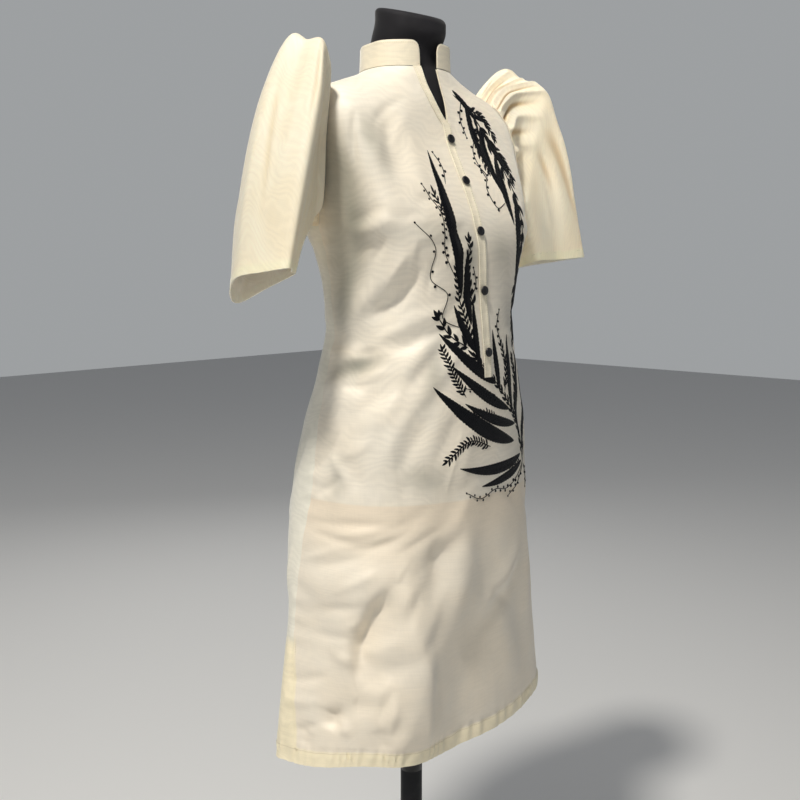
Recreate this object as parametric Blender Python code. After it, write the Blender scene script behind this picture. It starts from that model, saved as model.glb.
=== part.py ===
"""A sheer filipiniana dress with butterfly sleeves, worn by a limbless dress form on a pole and a round base.

Metres, +Z up, the wearer's front towards -Y and the wearer's right towards -X. The origin is the centre of
the base's underside, on the floor. All cloth hangs on one body surface, worked out from the sections below.
"""

import math

import bpy
from mathutils import Vector

# Heights of the garment
HEM_Z = 0.500
SLIT_TOP_Z = 0.660
LINING_HEM_Z = 0.828
PLACKET_END_Z = 0.996
UNDERARM_Z = 1.196
LINING_TOP_Z = 0.991
NOTCH_Z = 1.327
SHOULDER_TIP_Z = 1.368
NECK_Z = 1.402

# Cloth
CLOTH = 0.0015
BAND_CLOTH = 0.0012
COLLAR_CLOTH = 0.0020
SEAM_GAP = 0.0003
ARMHOLE_SEAM_GAP = 0.0006
BAND_GAP = 0.00045
BUTTON_GAP = 0.0005
SLIT_FLARE = 0.060
COLLAR_HEIGHT = 0.033
COLLAR_CORNER = 0.012
COLLAR_FOOT = 0.0012
PLACKET_WIDTH = 0.010
PLACKET_OVERLAP = 0.003
LINING_INSET = 0.0019
COLLAR_LEAN = 0.0015
BAND_SET_BACK = 0.0008

# Buttons
BUTTON_RADIUS = 0.0062
BUTTON_THICKNESS = 0.0036
BUTTON_HEIGHTS = (1.307, 1.251, 1.186, 1.110, 1.029)

# Dress form and stand
FORM_BOTTOM_Z = 0.800
NECK_COLUMN_TOP_Z = 1.464
NECK_CAP_THICKNESS = 0.016
NECK_RADIUS = 0.0480
NECK_CENTRE = Vector((-0.004, 0.014, 0))
NECK_LEAN = -0.014
NECK_CAP_TILT = math.radians(-14)
POLE_RADIUS = 0.016
BASE_RADIUS = 0.185
BASE_THICKNESS = 0.022
BASE_HUB_RADIUS = 0.034
BASE_HUB_HEIGHT = 0.050

# Shape of the worn dress: each row is a level section. Depths run from the side seam line to the centre
# front and back, squareness 2 is an ellipse and more is boxier. Seam moves the side seams back, sway moves
# the section sideways, twist turns it in degrees, and ease is the least room between cloth and form.
SECTION_COLUMNS = (
    "height", "half_width", "front", "back", "front_square", "back_square",
    "seam", "sway", "twist", "ease",
)
SECTIONS = (
    (0.500, 0.242, 0.167, 0.046, 2.9, 2.4, 0.030, -0.002, 5.0, 0.026),
    (0.580, 0.225, 0.168, 0.049, 2.9, 2.4, 0.030, -0.004, 4.5, 0.026),
    (0.680, 0.199, 0.171, 0.056, 2.7, 2.3, 0.032, -0.006, 3.0, 0.024),
    (0.780, 0.188, 0.167, 0.094, 2.6, 2.3, 0.028, -0.003, 2.0, 0.020),
    (0.850, 0.178, 0.159, 0.107, 2.5, 2.3, 0.020, 0.000, 1.0, 0.016),
    (0.930, 0.166, 0.157, 0.086, 2.4, 2.3, 0.018, 0.000, 0.0, 0.014),
    (1.000, 0.146, 0.157, 0.064, 2.4, 2.3, 0.018, 0.000, -1.0, 0.013),
    (1.060, 0.135, 0.152, 0.054, 2.3, 2.3, 0.016, 0.000, -2.0, 0.013),
    (1.110, 0.138, 0.147, 0.058, 2.5, 2.3, 0.014, 0.000, -3.0, 0.012),
    (1.160, 0.146, 0.1465, 0.074, 2.8, 2.4, 0.013, 0.000, -4.0, 0.009),
    (1.195, 0.155, 0.1390, 0.090, 3.2, 2.6, 0.012, 0.000, -5.0, 0.006),
    (1.235, 0.160, 0.121, 0.104, 3.4, 2.8, 0.010, 0.000, -5.0, 0.004),
    (1.270, 0.163, 0.100, 0.108, 3.6, 2.9, 0.008, 0.000, -5.0, 0.0035),
    (1.305, 0.166, 0.081, 0.107, 3.6, 2.8, 0.006, 0.000, -5.0, 0.0032),
    (1.335, 0.167, 0.070, 0.102, 3.0, 2.5, 0.004, 0.000, -5.0, 0.0028),
    (1.355, 0.163, 0.063, 0.095, 2.2, 2.0, 0.002, -0.001, -5.0, 0.0034),
    (1.368, 0.153, 0.057, 0.089, 1.8, 1.7, 0.000, -0.002, -5.0, 0.0032),
    (1.380, 0.121, 0.053, 0.083, 1.7, 1.6, 0.000, -0.003, -5.0, 0.0019),
    (1.391, 0.088, 0.050, 0.079, 1.8, 1.7, 0.000, -0.004, -5.0, 0.0017),
    (1.402, 0.0610, 0.047, 0.077, 2.0, 2.0, 0.000, -0.005, -5.0, 0.0020),
)

# Largest soft folds of the cloth: where round the body (degrees from the centre front, + to the wearer's
# left), how wide, how far out (- is a trough), and between which heights
FOLD_COLUMNS = ("turn", "spread", "depth", "low", "high")
FOLDS = (
    (-38.0, 8.0, 0.0040, 0.46, 0.78),
    (-20.0, 9.0, -0.0050, 0.48, 0.88),
    (-2.0, 8.0, 0.0030, 0.46, 0.74),
    (24.0, 11.0, -0.0040, 0.46, 0.80),
    (58.0, 10.0, 0.0045, 0.46, 0.84),
    (118.0, 13.0, 0.0050, 0.46, 0.86),
    (146.0, 10.0, -0.0045, 0.46, 0.82),
    (172.0, 12.0, 0.0050, 0.46, 0.90),
    (-160.0, 10.0, -0.0040, 0.46, 0.78),
    (-128.0, 12.0, 0.0050, 0.46, 0.86),
)

# Neck notch: how far each front edge stands off the centre front
NOTCH_COLUMNS = ("height", "right_edge", "left_edge")
NOTCH = (
    (1.327, 0.0006, 0.0006),
    (1.336, 0.0070, 0.0020),
    (1.347, 0.0125, 0.0035),
    (1.362, 0.0180, 0.0045),
    (1.380, 0.0215, 0.0050),
    (1.402, 0.0225, 0.0050),
)

# Armholes: how far they reach in front of and behind the side seam, and how high their fullest place is
ARMHOLE_COLUMNS = ("side", "front", "back", "fullest")
ARMHOLES = (
    (-1, 0.022, 0.066, 0.50),
    (1, 0.061, 0.062, 0.55),
)

# Sleeves: corner lines from the armhole to the hem. Fore and hind are the front and back edges of the broad
# outer face, and near_front and near_back the edges of the side next to the body. Bulges round the sides.
SLEEVE_CORNERS = ("fore", "hind", "near_back", "near_front")
SLEEVE_COLUMNS = ("along", *SLEEVE_CORNERS, "outer_bulge", "back_bulge")
SLEEVE_RIGHT = (
    (0.16, (-0.174, -0.020, 1.391), (-0.177, 0.028, 1.396),
     (-0.172, 0.076, 1.222), (-0.174, -0.010, 1.215), 0.004, 0.020),
    (0.32, (-0.186, -0.024, 1.408), (-0.198, 0.030, 1.420),
     (-0.184, 0.090, 1.206), (-0.180, -0.004, 1.206), 0.005, 0.022),
    (0.52, (-0.209, -0.038, 1.345), (-0.234, 0.040, 1.350),
     (-0.198, 0.101, 1.176), (-0.186, 0.004, 1.188), 0.006, 0.020),
    (0.76, (-0.238, -0.043, 1.252), (-0.263, 0.038, 1.246),
     (-0.210, 0.108, 1.136), (-0.193, 0.018, 1.162), 0.006, 0.016),
    (1.00, (-0.270, -0.047, 1.140), (-0.281, 0.038, 1.128),
     (-0.220, 0.112, 1.093), (-0.200, 0.024, 1.131), 0.005, 0.012),
)
SLEEVE_LEFT = (
    (0.16, (0.186, -0.034, 1.388), (0.178, 0.022, 1.398),
     (0.172, 0.072, 1.222), (0.164, -0.060, 1.220), 0.004, 0.018),
    (0.32, (0.232, -0.053, 1.396), (0.206, 0.010, 1.428),
     (0.186, 0.084, 1.206), (0.172, -0.062, 1.210), 0.006, 0.020),
    (0.52, (0.256, -0.066, 1.346), (0.250, 0.028, 1.356),
     (0.202, 0.094, 1.176), (0.182, -0.062, 1.196), 0.008, 0.018),
    (0.76, (0.276, -0.081, 1.250), (0.276, 0.034, 1.246),
     (0.216, 0.100, 1.136), (0.192, -0.061, 1.172), 0.008, 0.014),
    (1.00, (0.298, -0.088, 1.154), (0.296, 0.036, 1.136),
     (0.226, 0.104, 1.096), (0.204, -0.060, 1.147), 0.006, 0.010),
)
SLEEVE_RINGS = (0.0, 0.05, 0.10, 0.16, 0.23, 0.31, 0.41, 0.54, 0.69, 0.85, 1.0)
SLEEVE_COLUMNS_ROUND = 64
CAP_PLEATS = 9
CAP_PLEAT_DEPTH = 0.0042
CAP_PLEAT_START = 14
COLUMNS_PER_PLEAT = 4

# Grid of each panel
FRONT_HALF_COLUMNS = 12
BACK_COLUMNS = 20
FORM_COLUMNS = 32
PANEL_ROW_RUNS = (
    (HEM_Z, 0), (SLIT_TOP_Z, 4), (LINING_HEM_Z, 4), (LINING_TOP_Z, 4), (PLACKET_END_Z, 1),
    (UNDERARM_Z, 6), (1.206, 2), (NOTCH_Z, 5), (1.357, 3), (SHOULDER_TIP_Z, 2), (NECK_Z, 3),
)
FORM_ROW_RUNS = ((FORM_BOTTOM_Z, 0), (1.195, 8), (1.355, 6), (1.391, 3))

CLOTH_COLOUR = (0.83, 0.78, 0.62)
BAND_COLOUR = (0.80, 0.72, 0.50)
LINING_COLOUR = (0.86, 0.82, 0.70)
BUTTON_COLOUR = (0.02, 0.02, 0.03)
FORM_COLOUR = (0.028, 0.025, 0.030)
STAND_COLOUR = (0.03, 0.03, 0.03)


class Profile:
    """A table read between its rows by a smooth curve that never overshoots them."""

    def __init__(self, columns, rows):
        self.columns = columns[1:]
        self.keys = [row[0] for row in rows]
        self.values = {name: [row[i + 1] for row in rows] for i, name in enumerate(self.columns)}
        self.slopes = {name: self._slopes(values) for name, values in self.values.items()}

    def _slopes(self, values):
        steps = [b - a for a, b in zip(self.keys, self.keys[1:])]
        rises = [(b - a) / step for a, b, step in zip(values, values[1:], steps)]
        slopes = [rises[0]]
        for before, after in zip(rises, rises[1:]):
            slopes.append(2 * before * after / (before + after) if before * after > 0 else 0.0)
        slopes.append(rises[-1])
        return slopes

    def at(self, name, key):
        key = min(max(key, self.keys[0]), self.keys[-1])
        last = len(self.keys) - 2
        i = next((i for i in range(last) if key < self.keys[i + 1]), last)
        step = self.keys[i + 1] - self.keys[i]
        t = (key - self.keys[i]) / step
        low, high = self.values[name][i], self.values[name][i + 1]
        low_slope, high_slope = self.slopes[name][i], self.slopes[name][i + 1]
        bend = low_slope * (t ** 3 - 2 * t ** 2 + t) + high_slope * (t ** 3 - t ** 2)
        return low * (2 * t ** 3 - 3 * t ** 2 + 1) + high * (3 * t ** 2 - 2 * t ** 3) + step * bend


def named_rows(columns, rows):
    return [dict(zip(columns, row)) for row in rows]


BODY = Profile(SECTION_COLUMNS, SECTIONS)
NOTCH_EDGES = Profile(NOTCH_COLUMNS, NOTCH)
FOLD_ROWS = named_rows(FOLD_COLUMNS, FOLDS)
ARMHOLE_ROWS = {row["side"]: row for row in named_rows(ARMHOLE_COLUMNS, ARMHOLES)}


def smooth_step(value):
    value = min(max(value, 0.0), 1.0)
    return value * value * (3 - 2 * value)


def heights(runs):
    """Heights from a list of (height, steps up to it)."""
    found = [runs[0][0]]
    for (low, _), (high, steps) in zip(runs, runs[1:]):
        found += [low + (high - low) * (i + 1) / steps for i in range(steps)]
    return found


def fold_out(turn, z):
    """How far the soft folds push the cloth out at this place."""
    out = 0.0
    for fold in FOLD_ROWS:
        away = (math.degrees(turn) - fold["turn"] + 180) % 360 - 180
        fade = smooth_step((fold["high"] - z) / (fold["high"] - fold["low"]))
        out += fold["depth"] * fade * math.exp(-(away / fold["spread"]) ** 2)
    return out


def section_point(turn, z, folds=True):
    """A point of the body surface. Turn 0 is the centre front, and + runs to the wearer's left."""
    sine, cosine = math.sin(turn), math.cos(turn)
    name = "front" if cosine >= 0 else "back"
    power = 2.0 / BODY.at(name + "_square", z)
    x = BODY.at("half_width", z) * math.copysign(abs(sine) ** power, sine)
    y = -BODY.at(name, z) * math.copysign(abs(cosine) ** power, cosine)
    if folds:
        reach = math.hypot(x, y)
        grow = 1 + fold_out(turn, z) / reach
        x, y = x * grow, y * grow
    y += BODY.at("seam", z)
    twist = math.radians(BODY.at("twist", z))
    across = x * math.cos(twist) - y * math.sin(twist) + BODY.at("sway", z)
    return Vector((across, x * math.sin(twist) + y * math.cos(twist), z))


def section_normal(turn, z, folds=True):
    angle_step, height_step = 0.02, 0.004
    before, after = (section_point(turn + step, z, folds) for step in (-angle_step, angle_step))
    top = min(z + height_step, NECK_Z)
    up = section_point(turn, top, folds) - section_point(turn, top - 2 * height_step, folds)
    return (after - before).cross(up).normalized()


def seam_normal(turn, z):
    """The normal on a side or shoulder seam, in the seam's own plane, so that both panels share it."""
    normal = section_normal(turn, z)
    twist = math.radians(BODY.at("twist", z))
    across = Vector((math.cos(twist), math.sin(twist), 0))
    flat = across * normal.dot(across) + Vector((0, 0, normal.z))
    return flat.normalized()


def centre_normal(z):
    """The normal on the centre front, square to the slash."""
    normal = section_normal(0.0, z)
    twist = math.radians(BODY.at("twist", z))
    across = Vector((math.cos(twist), math.sin(twist), 0))
    return (normal - across * normal.dot(across)).normalized()


def turn_at_depth(z, depth, side, front=True):
    """The turn at which the body surface is this far in front of or behind the side seam line."""
    name = "front" if front else "back"
    share = min(depth / BODY.at(name, z), 0.98)
    angle = math.acos(share ** (BODY.at(name + "_square", z) / 2))
    return side * (angle if front else math.pi - angle)


def turn_at_width(z, width):
    """The turn at which the front of the body surface is this far from the centre front, with its sign."""
    share = abs(width) / BODY.at("half_width", z)
    return math.copysign(math.asin(share ** (BODY.at("front_square", z) / 2)), width)


def spaced_turns(z, start, end, count):
    """Turns from start to end whose points are evenly spaced along the section."""
    samples = 90
    turns = [start + (end - start) * i / samples for i in range(samples + 1)]
    points = [section_point(turn, z) for turn in turns]
    travelled = [0.0]
    for a, b in zip(points, points[1:]):
        travelled.append(travelled[-1] + (b - a).length)
    found = []
    i = 0
    for j in range(count + 1):
        target = travelled[-1] * j / count
        while i < samples - 1 and travelled[i + 1] < target:
            i += 1
        share = (target - travelled[i]) / (travelled[i + 1] - travelled[i])
        found.append(turns[i] + (turns[i + 1] - turns[i]) * share)
    return found


def armhole_depth(z, side, front):
    """How far the armhole's edge is from the side seam line at this height."""
    if not UNDERARM_Z < z < SHOULDER_TIP_Z:
        return 0.0
    armhole = ARMHOLE_ROWS[side]
    fullest = armhole["fullest"]
    reach = armhole["front" if front else "back"]
    up = (z - UNDERARM_Z) / (SHOULDER_TIP_Z - UNDERARM_Z)
    skewed = up / (2 * fullest) if up < fullest else 1 - (1 - up) / (2 * (1 - fullest))
    return reach * math.sqrt(max(1 - (2 * skewed - 1) ** 2, 0.0)) ** 0.9


def edge_depth(z, side, front):
    """Distance of a panel's outer edge from the side seam line: the seam, the slit or the armhole."""
    slit = max(SLIT_TOP_Z - z, 0.0) * SLIT_FLARE
    return SEAM_GAP / 2 + slit / 2 + armhole_depth(z, side, front)


def material(name, colour, roughness, metallic=0.0):
    made = bpy.data.materials.new(name)
    made.use_nodes = True
    shader = made.node_tree.nodes["Principled BSDF"]
    shader.inputs["Base Color"].default_value = (*colour, 1.0)
    shader.inputs["Roughness"].default_value = roughness
    shader.inputs["Metallic"].default_value = metallic
    return made


def add_object(name, mesh, look):
    mesh.materials.append(material(name, *look))
    mesh.shade_smooth()
    mesh.set_sharp_from_angle(angle=math.radians(35))
    obj = bpy.data.objects.new(name, mesh)
    bpy.context.scene.collection.objects.link(obj)
    return obj


def wall(name, points, normals, faces, thickness, look):
    """A closed wall of cloth: two sheets half a thickness off the points, joined at the rims."""
    count = len(points)
    half = thickness / 2
    faces = [half_face for a, b, c, d in faces for half_face in ((a, b, c), (a, c, d))]
    vertices = [p + n * half for p, n in zip(points, normals)]
    vertices += [p - n * half for p, n in zip(points, normals)]
    solid_faces = faces + [tuple(i + count for i in reversed(face)) for face in faces]
    edges = {}
    for face in faces:
        for a, b in zip(face, (*face[1:], face[0])):
            edges[(a, b)] = True
    rims = [(b, a, a + count, b + count) for a, b in edges if (b, a) not in edges]
    mesh = bpy.data.meshes.new(name)
    mesh.from_pydata([tuple(v) for v in vertices], [], solid_faces + rims)
    mesh.update()
    return add_object(name, mesh, look)


def grid_faces(rows, columns, closed=False):
    """Quads of a grid whose columns run anticlockwise seen from outside and whose rows run up."""
    last = columns if closed else columns - 1
    faces = []
    for row in range(rows - 1):
        for column in range(last):
            after = (column + 1) % columns
            base, above = row * columns, (row + 1) * columns
            faces.append((base + column, base + after, above + after, above + column))
    return faces


def lathe(name, profile, segments, look, place=None):
    """A closed turned solid. The profile runs from the axis at the bottom, up the outside, to the axis."""
    rings = profile[1:-1]
    vertices = [(0, 0, profile[0][1])]
    for radius, z in rings:
        for i in range(segments):
            angle = 2 * math.pi * i / segments
            vertices.append((radius * math.cos(angle), radius * math.sin(angle), z))
    vertices.append((0, 0, profile[-1][1]))
    top = len(vertices) - 1
    faces = [(0, 1 + (i + 1) % segments, 1 + i) for i in range(segments)]
    for ring in range(len(rings) - 1):
        base, above = 1 + ring * segments, 1 + (ring + 1) * segments
        for i in range(segments):
            after = (i + 1) % segments
            faces.append((base + i, base + after, above + after, above + i))
    base = 1 + (len(rings) - 1) * segments
    faces += [(base + i, base + (i + 1) % segments, top) for i in range(segments)]
    mesh = bpy.data.meshes.new(name)
    mesh.from_pydata(vertices, [], faces)
    mesh.update()
    obj = add_object(name, mesh, look)
    if place is not None:
        obj.matrix_world = place
    return obj


def rounded(radius, low, high, corner, steps=3):
    """Profile points up the outside of a round plate with rounded edges."""
    points = []
    for centre_z, first in ((low + corner, -90), (high - corner, 0)):
        for i in range(steps + 1):
            angle = math.radians(first + 90 * i / steps)
            points.append((radius - corner + corner * math.cos(angle), centre_z + corner * math.sin(angle)))
    return points


def notch_edge(z, side):
    """The front edge's distance from the centre front, above and below the foot of the neck notch."""
    if z <= NOTCH_Z:
        return SEAM_GAP
    return NOTCH_EDGES.at("right_edge" if side < 0 else "left_edge", z)


def front_grid(rows):
    """Points and normals of the front by side and row, each row from the outer edge to the centre front."""
    grid = {}
    for side in (-1, 1):
        for r, z in enumerate(rows):
            outer = turn_at_depth(z, edge_depth(z, side, True), side)
            joined = z < PLACKET_END_Z + 1e-6
            edge = 0.0 if joined else notch_edge(z, side)
            band = turn_at_width(z, side * (edge + PLACKET_WIDTH))
            turns = spaced_turns(z, outer, band, FRONT_HALF_COLUMNS - 1) + [turn_at_width(z, side * edge)]
            row = [(section_point(turn, z), section_normal(turn, z)) for turn in turns]
            if armhole_depth(z, side, True) == 0:
                row[0] = (row[0][0], seam_normal(side * math.pi / 2, z))
            if z < NOTCH_Z + 1e-6:
                row[-1] = (row[-1][0], centre_normal(z))
            grid[side, r] = row
    return grid


def build_front(rows, grid):
    """Both halves of the front, one piece below the placket and apart above it."""
    points, normals, index, faces = [], [], {}, []
    for (side, r), row in grid.items():
        for c, (point, normal) in enumerate(row):
            shared = c == FRONT_HALF_COLUMNS and rows[r] < PLACKET_END_Z + 1e-6 and side > 0
            if shared:
                index[side, r, c] = index[-side, r, c]
                continue
            index[side, r, c] = len(points)
            points.append(point)
            normals.append(normal)
    for side in (-1, 1):
        for r in range(len(rows) - 1):
            for c in range(FRONT_HALF_COLUMNS):
                corners = [index[side, r + up, c + over] for up, over in ((0, 0), (0, 1), (1, 1), (1, 0))]
                faces.append(corners if side < 0 else corners[::-1])
    return wall("front", points, normals, faces, CLOTH, (CLOTH_COLOUR, 0.45))


def back_grid(rows):
    """Points and normals of the back by row, each row from the left seam round to the right seam."""
    grid = []
    for z in rows:
        start = turn_at_depth(z, edge_depth(z, 1, False), 1, front=False)
        end = 2 * math.pi + turn_at_depth(z, edge_depth(z, -1, False), -1, front=False)
        turns = spaced_turns(z, start, end, BACK_COLUMNS)
        row = [(section_point(turn, z), section_normal(turn, z)) for turn in turns]
        for c, side in ((0, 1), (-1, -1)):
            if armhole_depth(z, side, False) == 0:
                row[c] = (row[c][0], seam_normal(side * math.pi / 2, z))
        grid.append(row)
    return grid


def build_back(grid):
    points = [point for row in grid for point, _ in row]
    normals = [normal for row in grid for _, normal in row]
    faces = grid_faces(len(grid), BACK_COLUMNS + 1)
    return wall("back", points, normals, faces, CLOTH, (CLOTH_COLOUR, 0.45))


def build_lining(rows, front, back):
    """A hip lining behind both panels, made from their own points moved in."""
    points, normals = [], []
    levels = [r for r, z in enumerate(rows) if LINING_HEM_Z - 1e-6 < z < LINING_TOP_Z + 1e-6]
    for r in levels:
        ring = front[-1, r] + front[1, r][-2::-1] + back[r][1:-1]
        points += [point - normal * LINING_INSET for point, normal in ring]
        normals += [normal for _, normal in ring]
    faces = grid_faces(len(levels), len(points) // len(levels), closed=True)
    return wall("lining", points, normals, faces, CLOTH, (LINING_COLOUR, 0.6))


def inward(row, distance):
    """The point and normal this far along a front row from its centre edge."""
    (edge, edge_normal), (band, band_normal) = row[-1], row[-2]
    share = distance / (band - edge).length
    return edge.lerp(band, share), edge_normal.lerp(band_normal, share).normalized()


def build_band(name, side, rows, grid, lift):
    """A strip on a front's edge, from the panel's own points moved out. Below the notch it laps the slash."""
    points, normals = [], []
    levels = [r for r, z in enumerate(rows) if z > PLACKET_END_Z - 1e-6]
    for r in levels:
        row = grid[side, r]
        if rows[r] < NOTCH_Z + 1e-6:
            across = (inward(grid[-side, r], PLACKET_OVERLAP), row[-1], row[-2])
        else:
            across = (row[-1], inward(row, BAND_SET_BACK), row[-2])
        points += [point + normal * lift for point, normal in across]
        normals += [normal for _, normal in across]
    faces = grid_faces(len(levels), 3)
    if side < 0:
        faces = [face[::-1] for face in faces]
    return wall(name, points, normals, faces, BAND_CLOTH, (BAND_COLOUR, 0.45))


def build_plackets(rows, grid):
    lift = CLOTH / 2 + BAND_GAP + BAND_CLOTH / 2
    build_band("placket_right", -1, rows, grid, lift)
    build_band("placket_left", 1, rows, grid, -lift)


def build_collar():
    """A stand collar on the neck ring, from one end of the notch round the back to the other."""
    start = turn_at_width(NECK_Z, notch_edge(NECK_Z, 1))
    end = 2 * math.pi - turn_at_width(NECK_Z, notch_edge(NECK_Z, -1))
    columns, rows = 26, 4
    turns = spaced_turns(NECK_Z, start, end, columns)
    base = [section_point(turn, NECK_Z) for turn in turns]
    travelled = [0.0]
    for a, b in zip(base, base[1:]):
        travelled.append(travelled[-1] + (b - a).length)
    centre = Vector((0, sum(p.y for p in base) / len(base), 0))
    points, normals = [], []
    for r in range(rows + 1):
        for foot, along in zip(base, travelled):
            from_end = min(along, travelled[-1] - along)
            inside = max(COLLAR_CORNER - from_end, 0.0)
            corner_drop = COLLAR_CORNER - math.sqrt(COLLAR_CORNER ** 2 - inside ** 2)
            top = COLLAR_HEIGHT - corner_drop
            rise = COLLAR_FOOT + top * r / rows
            out = Vector((foot.x - centre.x, foot.y - centre.y, 0)).normalized()
            points.append(foot + Vector((0, 0, rise)) - out * COLLAR_LEAN * r / rows)
            normals.append(out)
    faces = grid_faces(rows + 1, columns + 1)
    return wall("collar", points, normals, faces, COLLAR_CLOTH, (CLOTH_COLOUR, 0.5))


def armhole_loop(side):
    """A reader of points and normals round the armhole, from the underarm up the front, down the back."""
    samples = 60
    path = []
    for front in (True, False):
        for i in range(samples):
            share = i / samples if front else 1 - i / samples
            z = UNDERARM_Z + (SHOULDER_TIP_Z - UNDERARM_Z) * (1 - math.cos(math.pi * share)) / 2
            turn = turn_at_depth(z, armhole_depth(z, side, front), side, front)
            path.append((section_point(turn, z), section_normal(turn, z)))
    path.append(path[0])
    travelled = [0.0]
    for (a, _), (b, _) in zip(path, path[1:]):
        travelled.append(travelled[-1] + (b - a).length)

    def at(share):
        target = (share % 1.0) * travelled[-1]
        i = max(j for j in range(len(path) - 1) if travelled[j] <= target)
        t = (target - travelled[i]) / max(travelled[i + 1] - travelled[i], 1e-9)
        point = path[i][0].lerp(path[i + 1][0], t)
        return point, path[i][1].lerp(path[i + 1][1], t).normalized()

    return at


def closed_curve(knots, share):
    """A smooth closed curve through evenly spaced knots."""
    count = len(knots)
    place = (share % 1.0) * count
    i = int(place) % count
    t = place - int(place)
    before, here, there, after = (knots[(i + k) % count] for k in (-1, 0, 1, 2))
    return 0.5 * (
        2 * here
        + (there - before) * t
        + (2 * before - 5 * here + 4 * there - after) * t ** 2
        + (3 * here - before - 3 * there + after) * t ** 3
    )


# Where the sleeve's eight lines leave the armhole, as shares of the loop from the underarm up the front
ARMHOLE_SHARES = (0.0, 0.12, 0.27, 0.42, 0.50, 0.59, 0.75, 0.89)


def armhole_share(share):
    """The share of the armhole's loop that meets this share of the sleeve's round."""
    place = (share % 1.0) * len(ARMHOLE_SHARES)
    i = int(place)
    shares = (*ARMHOLE_SHARES, 1.0)
    return shares[i] + (shares[i + 1] - shares[i]) * (place - i)


def sleeve_lines(table, loop):
    """Eight lines from the armhole to the hem, each a profile of x, y and z along the sleeve."""
    stations = [(0.0, [loop(share)[0] for share in ARMHOLE_SHARES])]
    for row in named_rows(SLEEVE_COLUMNS, table):
        fore, hind, near_back, near_front = (Vector(row[name]) for name in SLEEVE_CORNERS)
        middle = (fore + hind + near_back + near_front) / 4
        outer = (fore + hind) / 2
        behind = (hind + near_back) / 2
        inner = (near_back + near_front) / 2
        front = (near_front + fore) / 2
        outer += (outer - middle).normalized() * row["outer_bulge"]
        behind += (behind - middle).normalized() * row["back_bulge"]
        stations.append((row["along"], [inner, near_front, front, fore, outer, hind, behind, near_back]))
    lines = []
    for k in range(len(ARMHOLE_SHARES)):
        rows = [(along, *knots[k]) for along, knots in stations]
        lines.append(Profile(("along", "x", "y", "z"), rows))
    return lines


def build_sleeve(name, side, table):
    loop = armhole_loop(side)
    lines = sleeve_lines(table, loop)
    columns = SLEEVE_COLUMNS_ROUND

    def surface(along, share):
        knots = [Vector((line.at("x", along), line.at("y", along), line.at("z", along))) for line in lines]
        point = closed_curve(knots, share)
        blend = smooth_step(1 - along / 0.12)
        seam_knots = [loop(s)[0] for s in ARMHOLE_SHARES]
        seam_drift = loop(armhole_share(share))[0] - closed_curve(seam_knots, share)
        return point + seam_drift * blend

    rings = [[surface(along, c / columns) for c in range(columns)] for along in SLEEVE_RINGS]

    def normal_of(r, c):
        round_sleeve = rings[r][(c + 1) % columns] - rings[r][(c - 1) % columns]
        down = rings[min(r + 1, len(rings) - 1)][c] - rings[max(r - 1, 0)][c]
        return (round_sleeve.cross(down) * side).normalized()

    points, normals = [], []
    for r, along in enumerate(SLEEVE_RINGS):
        gather = smooth_step(along / 0.06) * (1 - smooth_step((along - 0.12) / 0.22))
        for c in range(columns):
            normal = normal_of(r, c)
            point = rings[r][c]
            if r == 0:
                body_normal = loop(armhole_share(c / columns))[1]
                lean = abs(body_normal.dot(normal))
                point = point + body_normal * (CLOTH / 2 * (1 + lean) + ARMHOLE_SEAM_GAP)
            fold = c - CAP_PLEAT_START
            if 0 <= fold < CAP_PLEATS * COLUMNS_PER_PLEAT:
                wave = math.sin(2 * math.pi * fold / COLUMNS_PER_PLEAT)
                ends = smooth_step(min(fold, CAP_PLEATS * COLUMNS_PER_PLEAT - fold) / 6)
                point = point + normal * CAP_PLEAT_DEPTH * gather * wave * ends
            points.append(point)
            normals.append(normal)
    faces = grid_faces(len(SLEEVE_RINGS), columns, closed=True)
    if side < 0:
        faces = [face[::-1] for face in faces]
    return wall(name, points, normals, faces, CLOTH, (CLOTH_COLOUR, 0.4))


def build_buttons(rows, grid):
    """Round shank buttons on the right front's band, each with its origin at its own seat."""
    lift = CLOTH / 2 + BAND_GAP + BAND_CLOTH + BUTTON_GAP
    profile = [(0, 0)] + [(BUTTON_RADIUS * 0.82, 0), (BUTTON_RADIUS, BUTTON_THICKNESS * 0.35)]
    profile += [(BUTTON_RADIUS * 0.93, BUTTON_THICKNESS * 0.78), (BUTTON_RADIUS * 0.6, BUTTON_THICKNESS)]
    profile += [(0, BUTTON_THICKNESS)]
    for i, z in enumerate(BUTTON_HEIGHTS):
        r = max(r for r, row_z in enumerate(rows) if row_z < z)
        share = (z - rows[r]) / (rows[r + 1] - rows[r])
        (low, low_normal), (high, high_normal) = (inward(grid[-1, r + k], PLACKET_OVERLAP) for k in (0, 1))
        normal = low_normal.lerp(high_normal, share).normalized()
        seat = low.lerp(high, share) + normal * lift
        place = normal.to_track_quat("Z", "Y").to_matrix().to_4x4()
        place.translation = seat
        lathe(f"button_{i + 1}", profile, 14, (BUTTON_COLOUR, 0.3), place)


def form_inset(turn, z):
    """How far the form stays inside the cloth: least on the shoulders, which carry the dress."""
    return BODY.at("ease", z) + 0.0030 * max(math.cos(turn), 0.0) ** 2


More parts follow.
